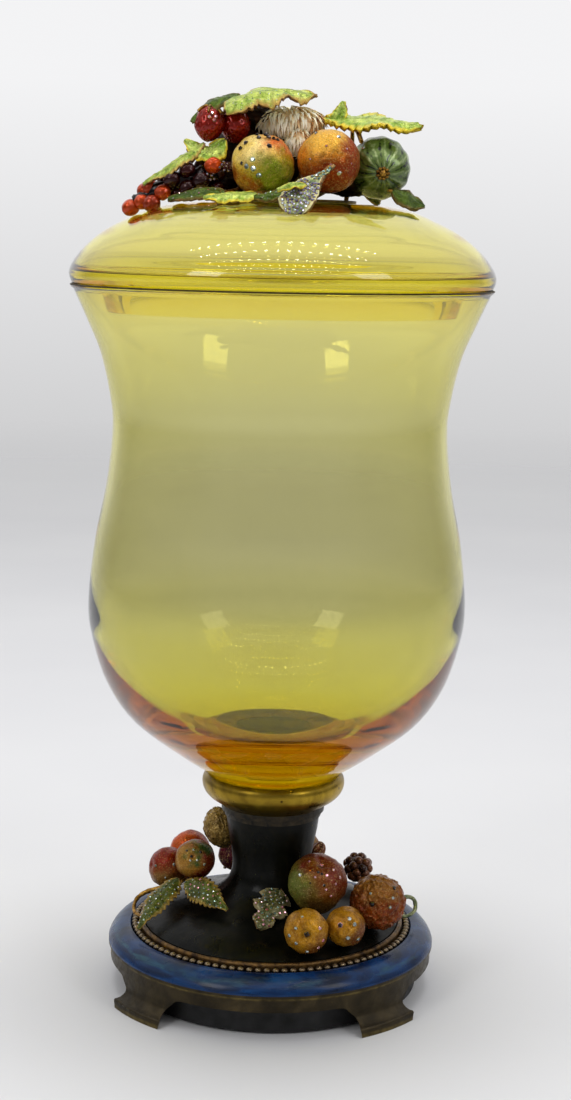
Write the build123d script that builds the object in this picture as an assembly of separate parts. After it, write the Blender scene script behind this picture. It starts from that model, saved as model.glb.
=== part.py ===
"""Covered glass jar on an enamelled, footed stand, with cast fruit and leaves on its lid and its base.

Millimetres, +Z up, origin on the floor at the jar's axis. -Y is the front. One STEP file per piece.
"""
from build123d import *
import os
from math import cos, pi, radians, sin, sqrt

# ---- driving dimensions -------------------------------------------------------------------------
BAND_RADIUS = 79.5        # outside of the blue enamel band, the widest part of the stand's rim
BAND_BOTTOM = 21.6        # the band's seat on the plinth
BAND_INNER = 68.5
BAND_TOP = 29.0
FOOT_RADIUS = 84.8        # toe of the bracket feet
ARCH_HALF_WIDTH = 47.2    # half the opening between two feet, at the floor
ARCH_TOP = 13.5
FEET_TURN = -3.2          # degrees by which the cast feet stand off the diagonals
CASTING_WALL = 3.0
SHELF_TOP = 26.5          # the plinth's inner shelf, which carries the pedestal
SHELF_INNER = 55.0
COVER_RADIUS = 71.5       # black cover that closes the stand from below
COVER_BOTTOM = 1.5

BEAD_COUNT = 103
BEAD_RADIUS = 1.85
BEAD_CIRCLE = 66.6
REED_RADIUS = 63.3
PEDESTAL_RADIUS = 62.0
PEDESTAL_WALL = 2.8
STEM_WAIST = 19.4
STEM_TOP_RADIUS = 22.6
STEM_TOP = 84.0
NECK_TOP = 89.5
COLLAR_RADIUS = 34.5
COLLAR_WIDEST = 99.7
SEAT_RADIUS = 20.9
SEAT_TOP = 100.5
SEAT_THICKNESS = 3.1
ROD_RADIUS = 3.0
HOLE_RADIUS = 3.3

BOWL_FOOT = 101.5         # underside of the solid glass bottom
BOWL_FLOOR = 121.5        # lowest point of the inside
BOWL_RIM = 338.6
RIM_RADIUS = 98.6
RIM_WIDTH = 4.2           # the flat ground rim
BULGE_RADIUS = 90.0
BULGE_HEIGHT = 189.5
BULGE_WALL = 1.8          # the glass is thinnest where it was blown widest
WAIST_RADIUS = 78.9
WAIST_HEIGHT = 272.5
WAIST_WALL = 2.5
NECK_WALL = 3.1

LID_SEAT = BOWL_RIM + 0.1  # the ground rim and the lid touch without overlapping
LID_RADIUS = 99.3
LID_WIDEST = 343.8
LID_TOP = 377.2
CROWN_RADIUS = 34.0       # the lid's flat top
LID_WALL = 3.0
LID_RING = 3.6            # the flat ring that sits on the bowl's rim
FLANGE_RADIUS = 85.4
FLANGE_BOTTOM = 327.0
FLANGE_TAPER = 3.6
FLANGE_WALL = 4.0

PAD_RADIUS = 31.0
PAD_THICKNESS = 0.3
PLATE_RADIUS = 33.5
PLATE_THICKNESS = 0.9
PLATE_TOP = LID_TOP + PAD_THICKNESS + PLATE_THICKNESS
LEAF_THICKNESS = 1.3
TWIG_RADIUS = 1.1
CRYSTAL_RADIUS = 0.7
GRAPE_TRIES = 160         # places tried for a berry along the stalk
GRAPE_RADIUS = 3.6
GRAPE_SPREAD = 6.3

os.makedirs("parts", exist_ok=True)


# ---- helpers ------------------------------------------------------------------------------------
def save(name, *solids):
    """Write one node: a solid, or a group of separate solids."""
    shape = solids[0] if len(solids) == 1 else Compound(children=list(solids))
    export_step(shape, f"parts/{name}.step")


def lathe(*lines):
    """Turn a closed outline, drawn as radius and height, about the jar's axis."""
    return revolve(Plane.XZ * make_face(Curve() + list(lines)), Axis.Z)


def disc(radius, bottom, top, hole=0.0):
    """A flat round plate, with an optional hole in its middle."""
    corners = [(hole, bottom), (radius, bottom), (radius, top), (hole, top)]
    return lathe(Polyline(*corners, close=True))


def frame_between(base, tip, up):
    """A place at base whose X points at tip and whose Z leans as near to up as it can."""
    along = (Vector(*tip) - Vector(*base)).normalized()
    lean = Vector(*up)
    return Plane(origin=base, x_dir=along, z_dir=lean - along * lean.dot(along)).location


def leaf(base, tip, up, width, teeth=5, bend=45.0):
    """A cast leaf from its stem to its tip, toothed along both edges and bowed across its length."""
    length = (Vector(*tip) - Vector(*base)).length
    edge = []
    for step in range(1, 2 * teeth):
        along = step / (2 * teeth)
        notch = 1.0 if step % 2 else 0.8
        edge.append((length * along, width / 2 * sin(pi * along ** 0.8) * notch))
    mirrored = [(x, -y) for x, y in reversed(edge)]
    blank = make_face(Polyline((0, 0), *edge, (length, 0), *mirrored, close=True))
    shell = Cylinder(bend + LEAF_THICKNESS, 3 * width) - Cylinder(bend, 3 * width)
    drop = sqrt(bend ** 2 - (length / 2) ** 2)
    sheet = Pos(length / 2, 0, -drop) * Rot(90, 0, 0) * shell
    curved = extrude(blank, amount=width, both=True) & sheet
    return frame_between(base, tip, up) * max(curved.solids(), key=lambda solid: solid.center().Z)


def twig(radius, corner, *points):
    """A round wire through the points, with rounded corners."""
    path = FilletPolyline(*points, radius=corner) if len(points) > 2 else Line(*points)
    return sweep(Plane(origin=path @ 0, z_dir=path % 0) * Circle(radius), path=path)


def fruit(centre, radius, eye):
    """A round fruit with a shallow dimple on the side that eye points to."""
    shoulder_turn = 0.42
    dimple = 0.12 * radius
    shoulder = (radius * sin(shoulder_turn), radius * cos(shoulder_turn))
    body = ThreePointArc((0, -radius), (radius, 0), shoulder)
    heading = (-cos(shoulder_turn), sin(shoulder_turn))
    dip = Spline(shoulder, (0, radius - dimple), tangents=[heading, (-1, 0)])
    return Plane(origin=centre, z_dir=eye).location * lathe(body, dip, Line(dip @ 1, body @ 0))


def oval(centre, across, along, axis):
    """An egg-shaped piece, long or flat in the direction of axis."""
    handle = across * 4 / 3
    half = Bezier((0, -along), (handle, -along), (handle, along), (0, along))
    return Plane(origin=centre, z_dir=axis).location * lathe(half, Line((0, along), (0, -along)))


def crystals(centre, radius, count, towards, spread):
    """Small faceted stones that stand on a round fruit, spiralling out from one direction."""
    stones = []
    golden_angle = pi * (3 - sqrt(5))
    place = Plane(origin=centre, z_dir=towards)
    for index in range(count):
        fall = radians(12 + spread * sqrt((index + 0.5) / count))
        turn = golden_angle * index
        normal = place.x_dir * (sin(fall) * cos(turn)) + place.y_dir * (sin(fall) * sin(turn))
        normal += place.z_dir * cos(fall)
        seat = Plane(origin=place.origin + normal * (radius + 0.02), z_dir=normal)
        stones.append(extrude(seat * RegularPolygon(CRYSTAL_RADIUS, 6), amount=CRYSTAL_RADIUS))
    return stones


# ---- stand: plinth, band, borders ---------------------------------------------------------------
def opening_between_feet():
    """Low arch whose sides sweep down into the feet in one curve."""
    side = Spline(
        (ARCH_HALF_WIDTH, -1), (46.6, 3.2), (44.4, 7.2), (41.0, 10.8), (35.0, ARCH_TOP),
        tangents=[(0, 1), (-1, 0)])
    other = Spline(
        (-ARCH_HALF_WIDTH, -1), (-46.6, 3.2), (-44.4, 7.2), (-41.0, 10.8), (-35.0, ARCH_TOP),
        tangents=[(0, 1), (1, 0)])
    return make_face([side, other, Line(side @ 1, other @ 1), Line(side @ 0, other @ 0)])


def plinth():
    """Cast bronze ring on four bracket feet, hollow below, with a shelf for the pedestal."""
    lip_thickness = 1.3
    skirt_top = BAND_BOTTOM - lip_thickness
    neck = BAND_RADIUS - 1.0
    toe_height = 4.4
    toe_round = 1.2
    inner = neck - CASTING_WALL
    recess = BAND_BOTTOM - CASTING_WALL
    shelf_bottom = SHELF_TOP - CASTING_WALL
    step = BAND_INNER - CASTING_WALL
    toe_start = (FOOT_RADIUS - toe_round, toe_height)
    toe_middle = (FOOT_RADIUS - 0.3 * toe_round, toe_height - 0.3 * toe_round)
    flare = Spline((neck, 9.5), (neck + 1.6, 6.4), toe_start, tangents=[(0, -1), (1, -0.3)])
    toe = ThreePointArc(toe_start, toe_middle, (FOOT_RADIUS, toe_height - toe_round))
    wall = Polyline(
        toe @ 1, (FOOT_RADIUS, 0), (inner + 3.0, 0), (inner, 8.0), (inner, recess), (step, recess),
        (step, shelf_bottom), (SHELF_INNER, shelf_bottom), (SHELF_INNER, SHELF_TOP), (BAND_INNER, SHELF_TOP),
        (BAND_INNER, BAND_BOTTOM), (BAND_RADIUS, BAND_BOTTOM), (BAND_RADIUS, skirt_top), (neck, skirt_top),
        flare @ 0)
    ring = lathe(flare, toe, wall)
    opening = opening_between_feet()
    for quarter in range(4):
        ring -= Rot(0, 0, FEET_TURN + 90 * quarter) * extrude(Plane.XZ * opening, amount=2 * FOOT_RADIUS)
    return ring


def base_cover():
    """Shallow black cup under the stand; its rim meets the underside of the plinth."""
    top = BAND_BOTTOM - CASTING_WALL - 0.02
    wall = 5.5
    floor = COVER_BOTTOM + 3.0
    return lathe(Polyline(
        (0, COVER_BOTTOM), (COVER_RADIUS, COVER_BOTTOM), (COVER_RADIUS, top), (COVER_RADIUS - wall, top),
        (COVER_RADIUS - wall, floor), (0, floor), close=True))


def enamel_band():
    """Crowned ring of blue enamel."""
    outer_edge = (BAND_RADIUS, BAND_BOTTOM + 0.8)
    crown = ThreePointArc(outer_edge, (BAND_RADIUS - 3.2, BAND_BOTTOM + 5.4), (BAND_INNER + 0.5, BAND_TOP))
    rest = Polyline(
        crown @ 1, (BAND_INNER + 0.05, BAND_TOP - 0.5), (BAND_INNER + 0.05, BAND_BOTTOM + 0.02),
        (BAND_RADIUS, BAND_BOTTOM + 0.02), outer_edge)
    return lathe(crown, rest)


def bead_border():
    """Ring of small round beads on one strip."""
    bead_height = SHELF_TOP + BEAD_RADIUS
    border = disc(BEAD_CIRCLE + BEAD_RADIUS, SHELF_TOP, bead_height - 0.4, BEAD_CIRCLE - BEAD_RADIUS)
    beads = []
    for index in range(BEAD_COUNT):
        turn = 2 * pi * index / BEAD_COUNT
        beads.append(Pos(BEAD_CIRCLE * cos(turn), BEAD_CIRCLE * sin(turn), bead_height) * Sphere(BEAD_RADIUS))
    return border + beads


def reed_ring():
    """Rounded ring that trims the pedestal's edge."""
    low = SHELF_TOP
    high = SHELF_TOP + 3.6
    inside = PEDESTAL_RADIUS + 0.05
    outside = 2 * REED_RADIUS - inside
    crest = ThreePointArc((inside, high), (REED_RADIUS, high + 1.4), (outside, high))
    return lathe(crest, Polyline((outside, high), (outside, low), (inside, low), (inside, high)))


# ---- pedestal, neck and collar ------------------------------------------------------------------
def pedestal_outline(inset):
    """The pedestal's curve from the stem's top down to its rim, moved inward by inset."""
    return Spline(
        (STEM_TOP_RADIUS - inset, STEM_TOP - inset), (STEM_WAIST + 0.3 - inset, 65.0),
        (STEM_WAIST + 1.4 - inset, 52.0 - 0.6 * inset), (27.0 - 0.7 * inset, 45.4 - 0.9 * inset),
        (43.0, 38.9 - inset), (PEDESTAL_RADIUS - inset, 31.4 - inset))


def pedestal():
    """Hollow enamelled dome and stem in one piece."""
    outer = pedestal_outline(0)
    inner = pedestal_outline(PEDESTAL_WALL)
    rim = PEDESTAL_RADIUS
    top = STEM_TOP
    edges = Polyline(outer @ 1, (rim, SHELF_TOP), (rim - PEDESTAL_WALL, SHELF_TOP), inner @ 1)
    crown = Polyline(inner @ 0, (HOLE_RADIUS, top - PEDESTAL_WALL), (HOLE_RADIUS, top), outer @ 0)
    return lathe(outer, edges, inner, crown)


def neck_ring():
    """Stepped washer between the stem and the collar."""
    step = 2.7
    wide = STEM_TOP_RADIUS + 2.4
    narrow = STEM_TOP_RADIUS + 0.8
    return lathe(Polyline(
        (HOLE_RADIUS, STEM_TOP), (narrow, STEM_TOP), (narrow, STEM_TOP + step), (wide, STEM_TOP + step),
        (wide, NECK_TOP), (HOLE_RADIUS, NECK_TOP), close=True))


def collar():
    """Gilt collar whose dished top holds the glass."""
    foot = (STEM_TOP_RADIUS + 2.6, NECK_TOP)
    widest = (COLLAR_RADIUS, COLLAR_WIDEST)
    lip = (COLLAR_RADIUS - 2.3, BOWL_FOOT + 3.4)
    recess = SEAT_RADIUS + 0.3
    bulge = Spline(foot, (28.6, 92.0), (32.9, 95.6), widest, (33.9, 103.3), lip)
    seat_floor = SEAT_TOP - SEAT_THICKNESS
    inside = Polyline(
        lip, (recess, BOWL_FOOT - 0.3), (recess, seat_floor), (HOLE_RADIUS, seat_floor),
        (HOLE_RADIUS, NECK_TOP), foot)
    return lathe(bulge, inside)


def seat_plate():
    """Threaded brass disc that the glass is bonded to."""
    low = SEAT_TOP - SEAT_THICKNESS
    blind = SEAT_TOP - 1.0
    thread = ROD_RADIUS + 0.05
    return lathe(Polyline(
        (thread, low), (SEAT_RADIUS, low), (SEAT_RADIUS, SEAT_TOP), (0, SEAT_TOP), (0, blind),
        (thread, blind), close=True))


# ---- glass --------------------------------------------------------------------------------------
def bowl():
    """Blown amber glass: flared mouth, drawn-in waist, round bulge and a thick solid bottom."""
    outside = Spline(
        (34.2, 107.5), (48.6, 117.2), (69.4, 133.6), (81.2, 151.0), (88.0, 171.8),
        (BULGE_RADIUS, BULGE_HEIGHT),
        (86.9, 219.0), (81.4, 247.0), (WAIST_RADIUS, WAIST_HEIGHT), (80.3, 288.0), (84.6, 307.0),
        (91.2, 323.0), (RIM_RADIUS - 1.4, BOWL_RIM - 2.2))
    inside = Spline(
        (0, BOWL_FLOOR), (30.0, 124.3), (52.0, 132.0), (69.0, 145.0), (81.0, 163.0),
        (BULGE_RADIUS - BULGE_WALL, BULGE_HEIGHT), (84.9, 219.0), (79.2, 247.0),
        (WAIST_RADIUS - WAIST_WALL, WAIST_HEIGHT), (77.5, 288.0), (84.6 - NECK_WALL, 307.0),
        (91.2 - NECK_WALL, 323.5), (RIM_RADIUS - RIM_WIDTH, BOWL_RIM), tangents=[(1, 0), (0.4, 1)])
    edge = 1.2
    rim = Polyline(inside @ 1, (RIM_RADIUS, BOWL_RIM), (RIM_RADIUS, BOWL_RIM - edge), outside @ 1)
    heel = (SEAT_RADIUS + 0.1, BOWL_FOOT)
    foot = Polyline(outside @ 0, (31.6, 105.0), heel, (0, BOWL_FOOT), (0, BOWL_FLOOR))
    return lathe(inside, rim, outside, foot)


def lid_glass():
    """Thin domed lid on a flat ring, with a tapered flange that drops inside the bowl's rim."""
    outside = Spline(
        (CROWN_RADIUS, LID_TOP), (50.0, 375.9), (62.0, 373.1), (72.0, 368.9), (80.0, 364.9), (87.0, 360.2),
        (93.0, 354.6), (97.6, 348.6), (LID_RADIUS, LID_WIDEST), (98.3, 339.8), tangents=[(1, 0), (-0.4, -1)])
    ring_top = LID_SEAT + LID_RING
    inside = Spline(
        (92.6, ring_top), (94.8, 344.6), (94.2, 347.4), (90.7, 352.6), (85.1, 357.9), (78.4, 362.3),
        (70.6, 366.2), (60.9, 370.3), (49.4, 372.9), (CROWN_RADIUS - 1.0, LID_TOP - LID_WALL))
    low = FLANGE_RADIUS - FLANGE_TAPER
    flange = Polyline(
        outside @ 1, (97.6, LID_SEAT), (FLANGE_RADIUS, LID_SEAT), (low, FLANGE_BOTTOM),
        (low - FLANGE_WALL, FLANGE_BOTTOM), (FLANGE_RADIUS - FLANGE_WALL, ring_top), inside @ 0)
    crown = Polyline(inside @ 1, (0, LID_TOP - LID_WALL), (0, LID_TOP), outside @ 0)
    return lathe(outside, flange, inside, crown)


# ---- build: stand and jar -----------------------------------------------------------------------
save("plinth", plinth())
save("base_cover", base_cover())
save("enamel_band", enamel_band())
save("bead_border", bead_border())
save("reed_ring", reed_ring())
save("pedestal", pedestal())
save("neck_ring", neck_ring())
save("collar", collar())
save("seat_plate", seat_plate())
save("seat_pad", disc(19.0, SEAT_TOP, BOWL_FOOT))
save("bowl", bowl())

CLAMP_TOP = SHELF_TOP - CASTING_WALL
CLAMP_BOTTOM = CLAMP_TOP - 2.6
WASHER_BOTTOM = CLAMP_BOTTOM - 1.5
NUT_BOTTOM = WASHER_BOTTOM - 5.0
save("clamp_plate", disc(SHELF_INNER + 5, CLAMP_BOTTOM, CLAMP_TOP, HOLE_RADIUS))
save("washer", disc(8.0, WASHER_BOTTOM, CLAMP_BOTTOM, HOLE_RADIUS))
nut_blank = Pos(0, 0, NUT_BOTTOM) * extrude(RegularPolygon(5.8, 6), amount=5.0)
save("hex_nut", nut_blank - Pos(0, 0, NUT_BOTTOM) * Cylinder(ROD_RADIUS + 0.05, 12))
save("tie_rod", disc(ROD_RADIUS, NUT_BOTTOM - 2, SEAT_TOP - 1.0))

# ---- build: fruit and leaves on the stand -------------------------------------------------------
PEACH_LEFT = (-51.3, 14.0, 50.2)
APPLE_FRONT = (-37.7, 1.0, 59.0)
PEACH_BACK = (-41.8, 34.0, 52.8)
LEMON = (-26.0, 22.0, 69.0)
PLUM_BACK = (-15.5, 37.0, 51.8)
PEAR_BACK = (13.0, 39.0, 52.2)
APPLE_RIGHT = (22.0, -27.0, 57.9)
ORANGE_RIGHT = (51.0, -26.6, 48.8)
KUMQUAT_A = (16.7, -57.2, 45.0)
KUMQUAT_B = (35.2, -47.8, 44.1)

save("base_peach_left", fruit(PEACH_LEFT, 10.2, (-1, -0.4, 0.3)))
save("base_apple_front", fruit(APPLE_FRONT, 9.8, (-0.1, -1, 0.5)))
save("base_peach_back", fruit(PEACH_BACK, 10.4, (-0.5, 0.5, 1)))
save("base_lemon", oval(LEMON, 8.2, 10.0, (-0.4, 0.3, 1)))
save("base_plum_back", oval(PLUM_BACK, 10.0, 12.5, (1, 0.3, 0.3)))
save("base_pear_back", fruit(PEAR_BACK, 11.5, (0.3, 1, 0.3)))
save("base_apple_right", fruit(APPLE_RIGHT, 14.0, (0.2, -0.5, 1)))
save("base_orange_right", fruit(ORANGE_RIGHT, 13.4, (-0.2, -1, 0.3)))
save("base_kumquat_left", fruit(KUMQUAT_A, 10.3, (0, -1, 0.25)))
save("base_kumquat_right", fruit(KUMQUAT_B, 9.3, (0.3, -1, 0.5)))


def berry_ball(centre, radius, berry, count):
    """A bramble fruit: separate round drupelets set close together over a small core."""
    golden_angle = pi * (3 - sqrt(5))
    drupelets = Pos(*centre) * Sphere(radius - 0.8 * berry)
    for index in range(count):
        height = 1 - 2 * (index + 0.5) / count
        ring = sqrt(1 - height ** 2) * (radius - berry)
        turn = golden_angle * index
        place = Pos(ring * cos(turn), ring * sin(turn), height * (radius - berry))
        drupelets += Pos(*centre) * place * Sphere(berry)
    return drupelets


save("base_bramble", berry_ball((43.4, 30.0, 46.8), 8.1, 2.6, 22))
save("base_red_berry", berry_ball((54.5, 17.5, 41.5), 5.4, 2.0, 16))
save("base_bud", oval((22.6, 15.5, 60.0), 3.6, 4.6, (0.6, 0.4, 1)))
save("base_leaf_long", leaf((-46.0, -3.4, 49.3), (-63.4, -29.0, 33.8), (-0.5, -0.3, 1), 15.0, 6))
save("base_leaf_short", leaf((-41.0, -9.4, 49.6), (-20.6, -30.5, 46.2), (-0.4, -0.8, 1), 15.0, 6, 30.0))
save("base_ivy_leaf", leaf((2.6, -25.5, 49.6), (-4.5, -42.5, 40.6), (0.1, -0.5, 1), 17.0, 4, 20.0))
twig_loop = twig(
    TWIG_RADIUS, 3.0, (-54.5, 3.0, 43.5), (-66.5, 1.0, 38.0), (-67.0, -8.0, 34.5), (-61.0, -17.0, 35.0))
save("base_tendril", twig(
    TWIG_RADIUS, 2.5, (61.5, -8.0, 41.5), (68.0, 1.0, 42.5), (71.5, 2.0, 38.0), (68.5, -4.5, 33.8),
    (61.5, -5.5, 35.6)))
left_stem = twig(TWIG_RADIUS, 2.5, (-39.0, 18.0, 42.0), (-40.0, 11.0, 46.6), (-44.3, -3.8, 49.0))
save("base_twigs", twig_loop, left_stem)
save("base_leaf_back", leaf((1.0, 53.0, 42.0), (-25.0, 57.5, 36.2), (0, 0.5, 1), 15.0, 5))
base_stones = crystals(APPLE_RIGHT, 14.0, 26, (0.4, -0.6, 0.8), 55)
base_stones += crystals(KUMQUAT_A, 10.3, 12, (0, -1, 0.25), 55)
base_stones += crystals(KUMQUAT_B, 9.3, 10, (0.3, -1, 0.5), 55)
save("base_crystals", *base_stones)

# ---- build: lid ---------------------------------------------------------------------------------
PEAR = (-9.9, -26.0, 393.2)
ORANGE = (19.8, -24.0, 395.4)
GOURD = (43.4, -7.0, 393.6)
BURR = (2.4, -2.0, 412.7)
PLUM = (-20.0, 8.0, 391.6)
QUINCE = (11.5, 9.0, 393.4)

save("lid_glass", lid_glass())
save("bonding_pad", disc(PAD_RADIUS, LID_TOP, LID_TOP + PAD_THICKNESS))
save("cluster_plate", disc(PLATE_RADIUS, LID_TOP + PAD_THICKNESS, PLATE_TOP))
save("lid_pear", fruit(PEAR, 14.0, (0.1, -0.3, 1)))
save("lid_orange", fruit(ORANGE, 14.2, (0.5, -1, -0.4)))
gourd_eye = Vector(0.08, -1, -0.22).normalized()
save("lid_gourd", Pos(*GOURD) * Sphere(14.2))
blossom_seat = Plane(origin=Vector(*GOURD) + gourd_eye * 14.25, z_dir=gourd_eye)
save("gourd_blossom", blossom_seat * extrude(RegularPolygon(2.4, 8), amount=1.6))
save("lid_burr", oval(BURR, 8.6, 16.4, (1, 0.05, 0.02)))
save("lid_plum", oval(PLUM, 12.2, 14.0, (1, -0.2, 0.1)))
save("lid_quince", fruit(QUINCE, 14.0, (0.2, 1, 0.5)))


def grape_bunch():
    """Bunch down the lid's slope: berries turned about a bowed stalk, each clear of those before it."""
    stalk = Bezier((-31.0, -19.5, 388.5), (-50.5, -17.5, 386.0), (-69.0, -15.0, 375.0))
    golden_angle = pi * (3 - sqrt(5))
    places = []
    for index in range(GRAPE_TRIES):
        along = index / (GRAPE_TRIES - 1)
        heading = stalk % along
        side = heading.cross(Vector(0, 0, 1)).normalized()
        above = side.cross(heading)
        spread = GRAPE_SPREAD * (1 - along) ** 0.55
        turn = golden_angle * index
        place = stalk @ along + (side * cos(turn) + above * sin(turn)) * spread
        if all((place - other).length > 2.02 * GRAPE_RADIUS for other in places):
            places.append(place)
    return [Pos(*place) * Sphere(GRAPE_RADIUS) for place in places]


save("lid_grapes", *grape_bunch())
save("lid_strawberry_left", oval((-34.6, -14.0, 411.4), 6.9, 8.2, (0.1, 0, 1)))
save("lid_strawberry_right", oval((-21.5, -6.5, 411.2), 6.1, 7.6, (-0.1, 0, 1)))
save("lid_leaf_top_left", leaf((10.5, -4.0, 420.4), (-30.0, -20.0, 416.8), (0, -0.4, 1), 26.0, 6, 40.0))
save("lid_leaf_back_left", leaf((-24.0, 4.0, 418.6), (-42.8, 0.0, 411.8), (0, 0, 1), 13.0, 4))
save("lid_leaf_mid_left", leaf((-26.0, -19.0, 399.0), (-42.0, -8.0, 399.4), (0, -0.4, 1), 11.0, 4, 60.0))
save("lid_leaf_long", leaf((-42.0, -13.0, 397.6), (-64.0, -16.0, 385.6), (-0.3, -0.5, 1), 10.0, 6))
save("lid_leaf_right", leaf((21.0, -5.0, 417.4), (61.0, -15.0, 412.0), (0, -0.6, 1), 27.0, 6, 60.0))
save("lid_leaf_small_right", leaf((51.0, -17.0, 382.0), (64.8, -15.0, 377.0), (0.1, -0.7, 0.7), 9.0, 3, 14.0))
save("lid_leaf_front_left", leaf((-12.5, -42.5, 378.9), (-35.0, -43.0, 378.2), (0, -0.3, 1), 9.0, 4, 30.0))
save("lid_leaf_crystal", leaf((21.0, -41.5, 390.4), (1.6, -63.0, 375.2), (-0.3, -0.6, 1), 14.0, 4, 28.0))
save("lid_leaf_back", leaf((-4.0, 25.0, 396.0), (-14.0, 60.0, 378.6), (0, 0.3, 1), 20.0, 5, 50.0))
save("lid_leaf_back_right", leaf((28.0, 20.0, 390.0), (46.0, 48.0, 378.4), (0.3, 0.3, 1), 17.0, 5, 50.0))
stem_foot = PLATE_TOP + 0.3
left_stem = twig(TWIG_RADIUS, 3.0, (-28.5, -8.0, stem_foot), (-29.5, -6.0, 396.0), (-28.8, -6.0, 403.0))
right_stem = twig(TWIG_RADIUS, 3.0, (29.0, 9.0, stem_foot), (31.0, 7.0, 400.0), (30.5, -1.0, 415.6))
save("lid_stems", left_stem, right_stem)
lid_stones = crystals(PEAR, 14.0, 12, (-0.2, -1, 0.4), 60)
lid_stones += crystals(ORANGE, 14.2, 8, (0.1, -1, 0.5), 50)
save("lid_crystals", *lid_stones)
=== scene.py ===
"""Looks for the covered amber jar on its enamelled stand. Lengths are millimetres until a mesh is made."""
from math import acos, cos, exp, pi, radians, sin, sqrt
import random
import bpy
from mathutils import Euler, Matrix, Vector, noise


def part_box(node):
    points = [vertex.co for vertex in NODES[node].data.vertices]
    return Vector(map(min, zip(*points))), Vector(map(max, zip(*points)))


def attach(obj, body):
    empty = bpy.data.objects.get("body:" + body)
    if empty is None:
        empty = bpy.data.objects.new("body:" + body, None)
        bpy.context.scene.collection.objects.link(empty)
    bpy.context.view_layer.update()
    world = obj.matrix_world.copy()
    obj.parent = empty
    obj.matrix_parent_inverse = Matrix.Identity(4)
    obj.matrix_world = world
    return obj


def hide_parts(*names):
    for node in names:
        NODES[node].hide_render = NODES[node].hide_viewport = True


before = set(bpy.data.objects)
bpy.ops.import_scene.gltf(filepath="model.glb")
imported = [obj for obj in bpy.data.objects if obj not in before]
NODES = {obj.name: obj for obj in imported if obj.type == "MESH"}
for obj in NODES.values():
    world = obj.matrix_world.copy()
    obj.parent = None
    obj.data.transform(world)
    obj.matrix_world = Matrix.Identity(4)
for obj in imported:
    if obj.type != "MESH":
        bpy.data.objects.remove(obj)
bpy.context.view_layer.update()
JAR = "jar"
LID = "lid"
MM = 0.001
GOLDEN_ANGLE = pi * (3 - sqrt(5))
UPRIGHT = Matrix.Identity(3)
CLEAR, GOLD, PINK, VIOLET, AQUA, BLACK = range(6)  # material slots of the two pieces made of stones
dice = random.Random(11)


# ---- camera -------------------------------------------------------------------------------------
def add_object(name, data):
    """A new object in the scene."""
    thing = bpy.data.objects.new(name, data)
    bpy.context.collection.objects.link(thing)
    return thing


def make_camera():
    """A long lens a little above the jar's middle, looking slightly down and turned by a degree."""
    data = bpy.data.cameras.new("camera")
    data.sensor_width = 36
    data.lens = 62.45
    data.clip_start = 0.01
    look_down = radians(9.21)
    roll = radians(1.11)
    aim = Euler((radians(90) - look_down, 0, 0)).to_matrix() @ Matrix.Rotation(roll, 3, "Z")
    camera = add_object("camera", data)
    eye = (0.00374, -0.9, 0.3599)
    camera.matrix_world = Matrix.Translation(eye) @ aim.to_4x4()
    bpy.context.scene.camera = camera


# ---- materials: helpers -------------------------------------------------------------------------
def tone(colour):
    """A shader's linear colour: four numbers stay, three are screen values from 0 to 255, one is a grey."""
    if not isinstance(colour, tuple):
        return (colour, colour, colour, 1)
    if len(colour) == 4:
        return colour
    linear = []
    for value in colour:
        share = value / 255
        linear.append(share / 12.92 if share <= 0.04045 else ((share + 0.055) / 1.055) ** 2.4)
    return (*linear, 1.0)


class Graph:
    """A node tree, with short calls that add nodes to it. Colours are given as tone() takes them."""

    def __init__(self, tree, place):
        self.nodes = tree.nodes
        self.links = tree.links
        self.place = self.node("TexCoord").outputs[place]

    def feed(self, socket, value):
        """Links an output to an input, or sets the input to a plain value or a colour."""
        if isinstance(value, bpy.types.NodeSocket):
            self.links.new(value, socket)
        else:
            socket.default_value = tone(value) if isinstance(value, tuple) else value

    def node(self, kind, *inputs, **named):
        """A new node. Inputs are given in order or by capitalised name; the other names are settings."""
        node = self.nodes.new("ShaderNode" + kind)
        for key, value in named.items():
            if key[0].isupper():
                self.feed(node.inputs[key], value)
            else:
                setattr(node, key, value)
        for socket, value in zip(node.inputs, inputs):
            self.feed(socket, value)
        return node

    def noise(self, scale, detail=4.0, distortion=0.0, place=None):
        return self.node("TexNoise", Vector=place or self.place, Scale=scale, Detail=detail,
                         Distortion=distortion).outputs["Fac"]

    def cells(self, scale, output="Distance"):
        return self.node("TexVoronoi", Vector=self.place, Scale=scale).outputs[output]

    def ramp(self, factor, *stops):
        """Colours by position. The factor may be the numbers for a noise."""
        node = self.node("ValToRGB", self.noise(*factor) if isinstance(factor, tuple) else factor)
        elements = node.color_ramp.elements
        for index, (position, colour) in enumerate(stops):
            element = elements[index] if index < 2 else elements.new(position)
            element.position = position
            element.color = tone(colour)
        return node.outputs["Color"]

    def blend(self, factor, first, second, mode="MIX"):
        node = self.node("Mix", factor, data_type="RGBA", blend_type=mode)
        self.feed(node.inputs[6], first)
        self.feed(node.inputs[7], second)
        return node.outputs[2]

    def sum(self, operation, first, second=0.0):
        return self.node("Math", first, second, operation=operation).outputs[0]

    def times(self, first, second):
        return self.sum("MULTIPLY", first, second)

    def stain(self, paint, mask, share, shade):
        """Some of another shade over the paint, where mask is 1."""
        return self.blend(self.times(mask, share), paint, shade)

    def part(self, vector, axis):
        return self.node("SeparateXYZ", vector).outputs[axis]

    def between(self, value, low, high, start=0.0, end=1.0):
        """start below low, end above high, and a straight line between."""
        return self.node("MapRange", value, low, high, start, end).outputs["Result"]

    def band(self, value, middle, half_width):
        """1 at middle, falling to 0 at half_width away on both sides."""
        return self.between(self.sum("ABSOLUTE", self.sum("SUBTRACT", value, middle)), half_width, 0.0)


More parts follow.
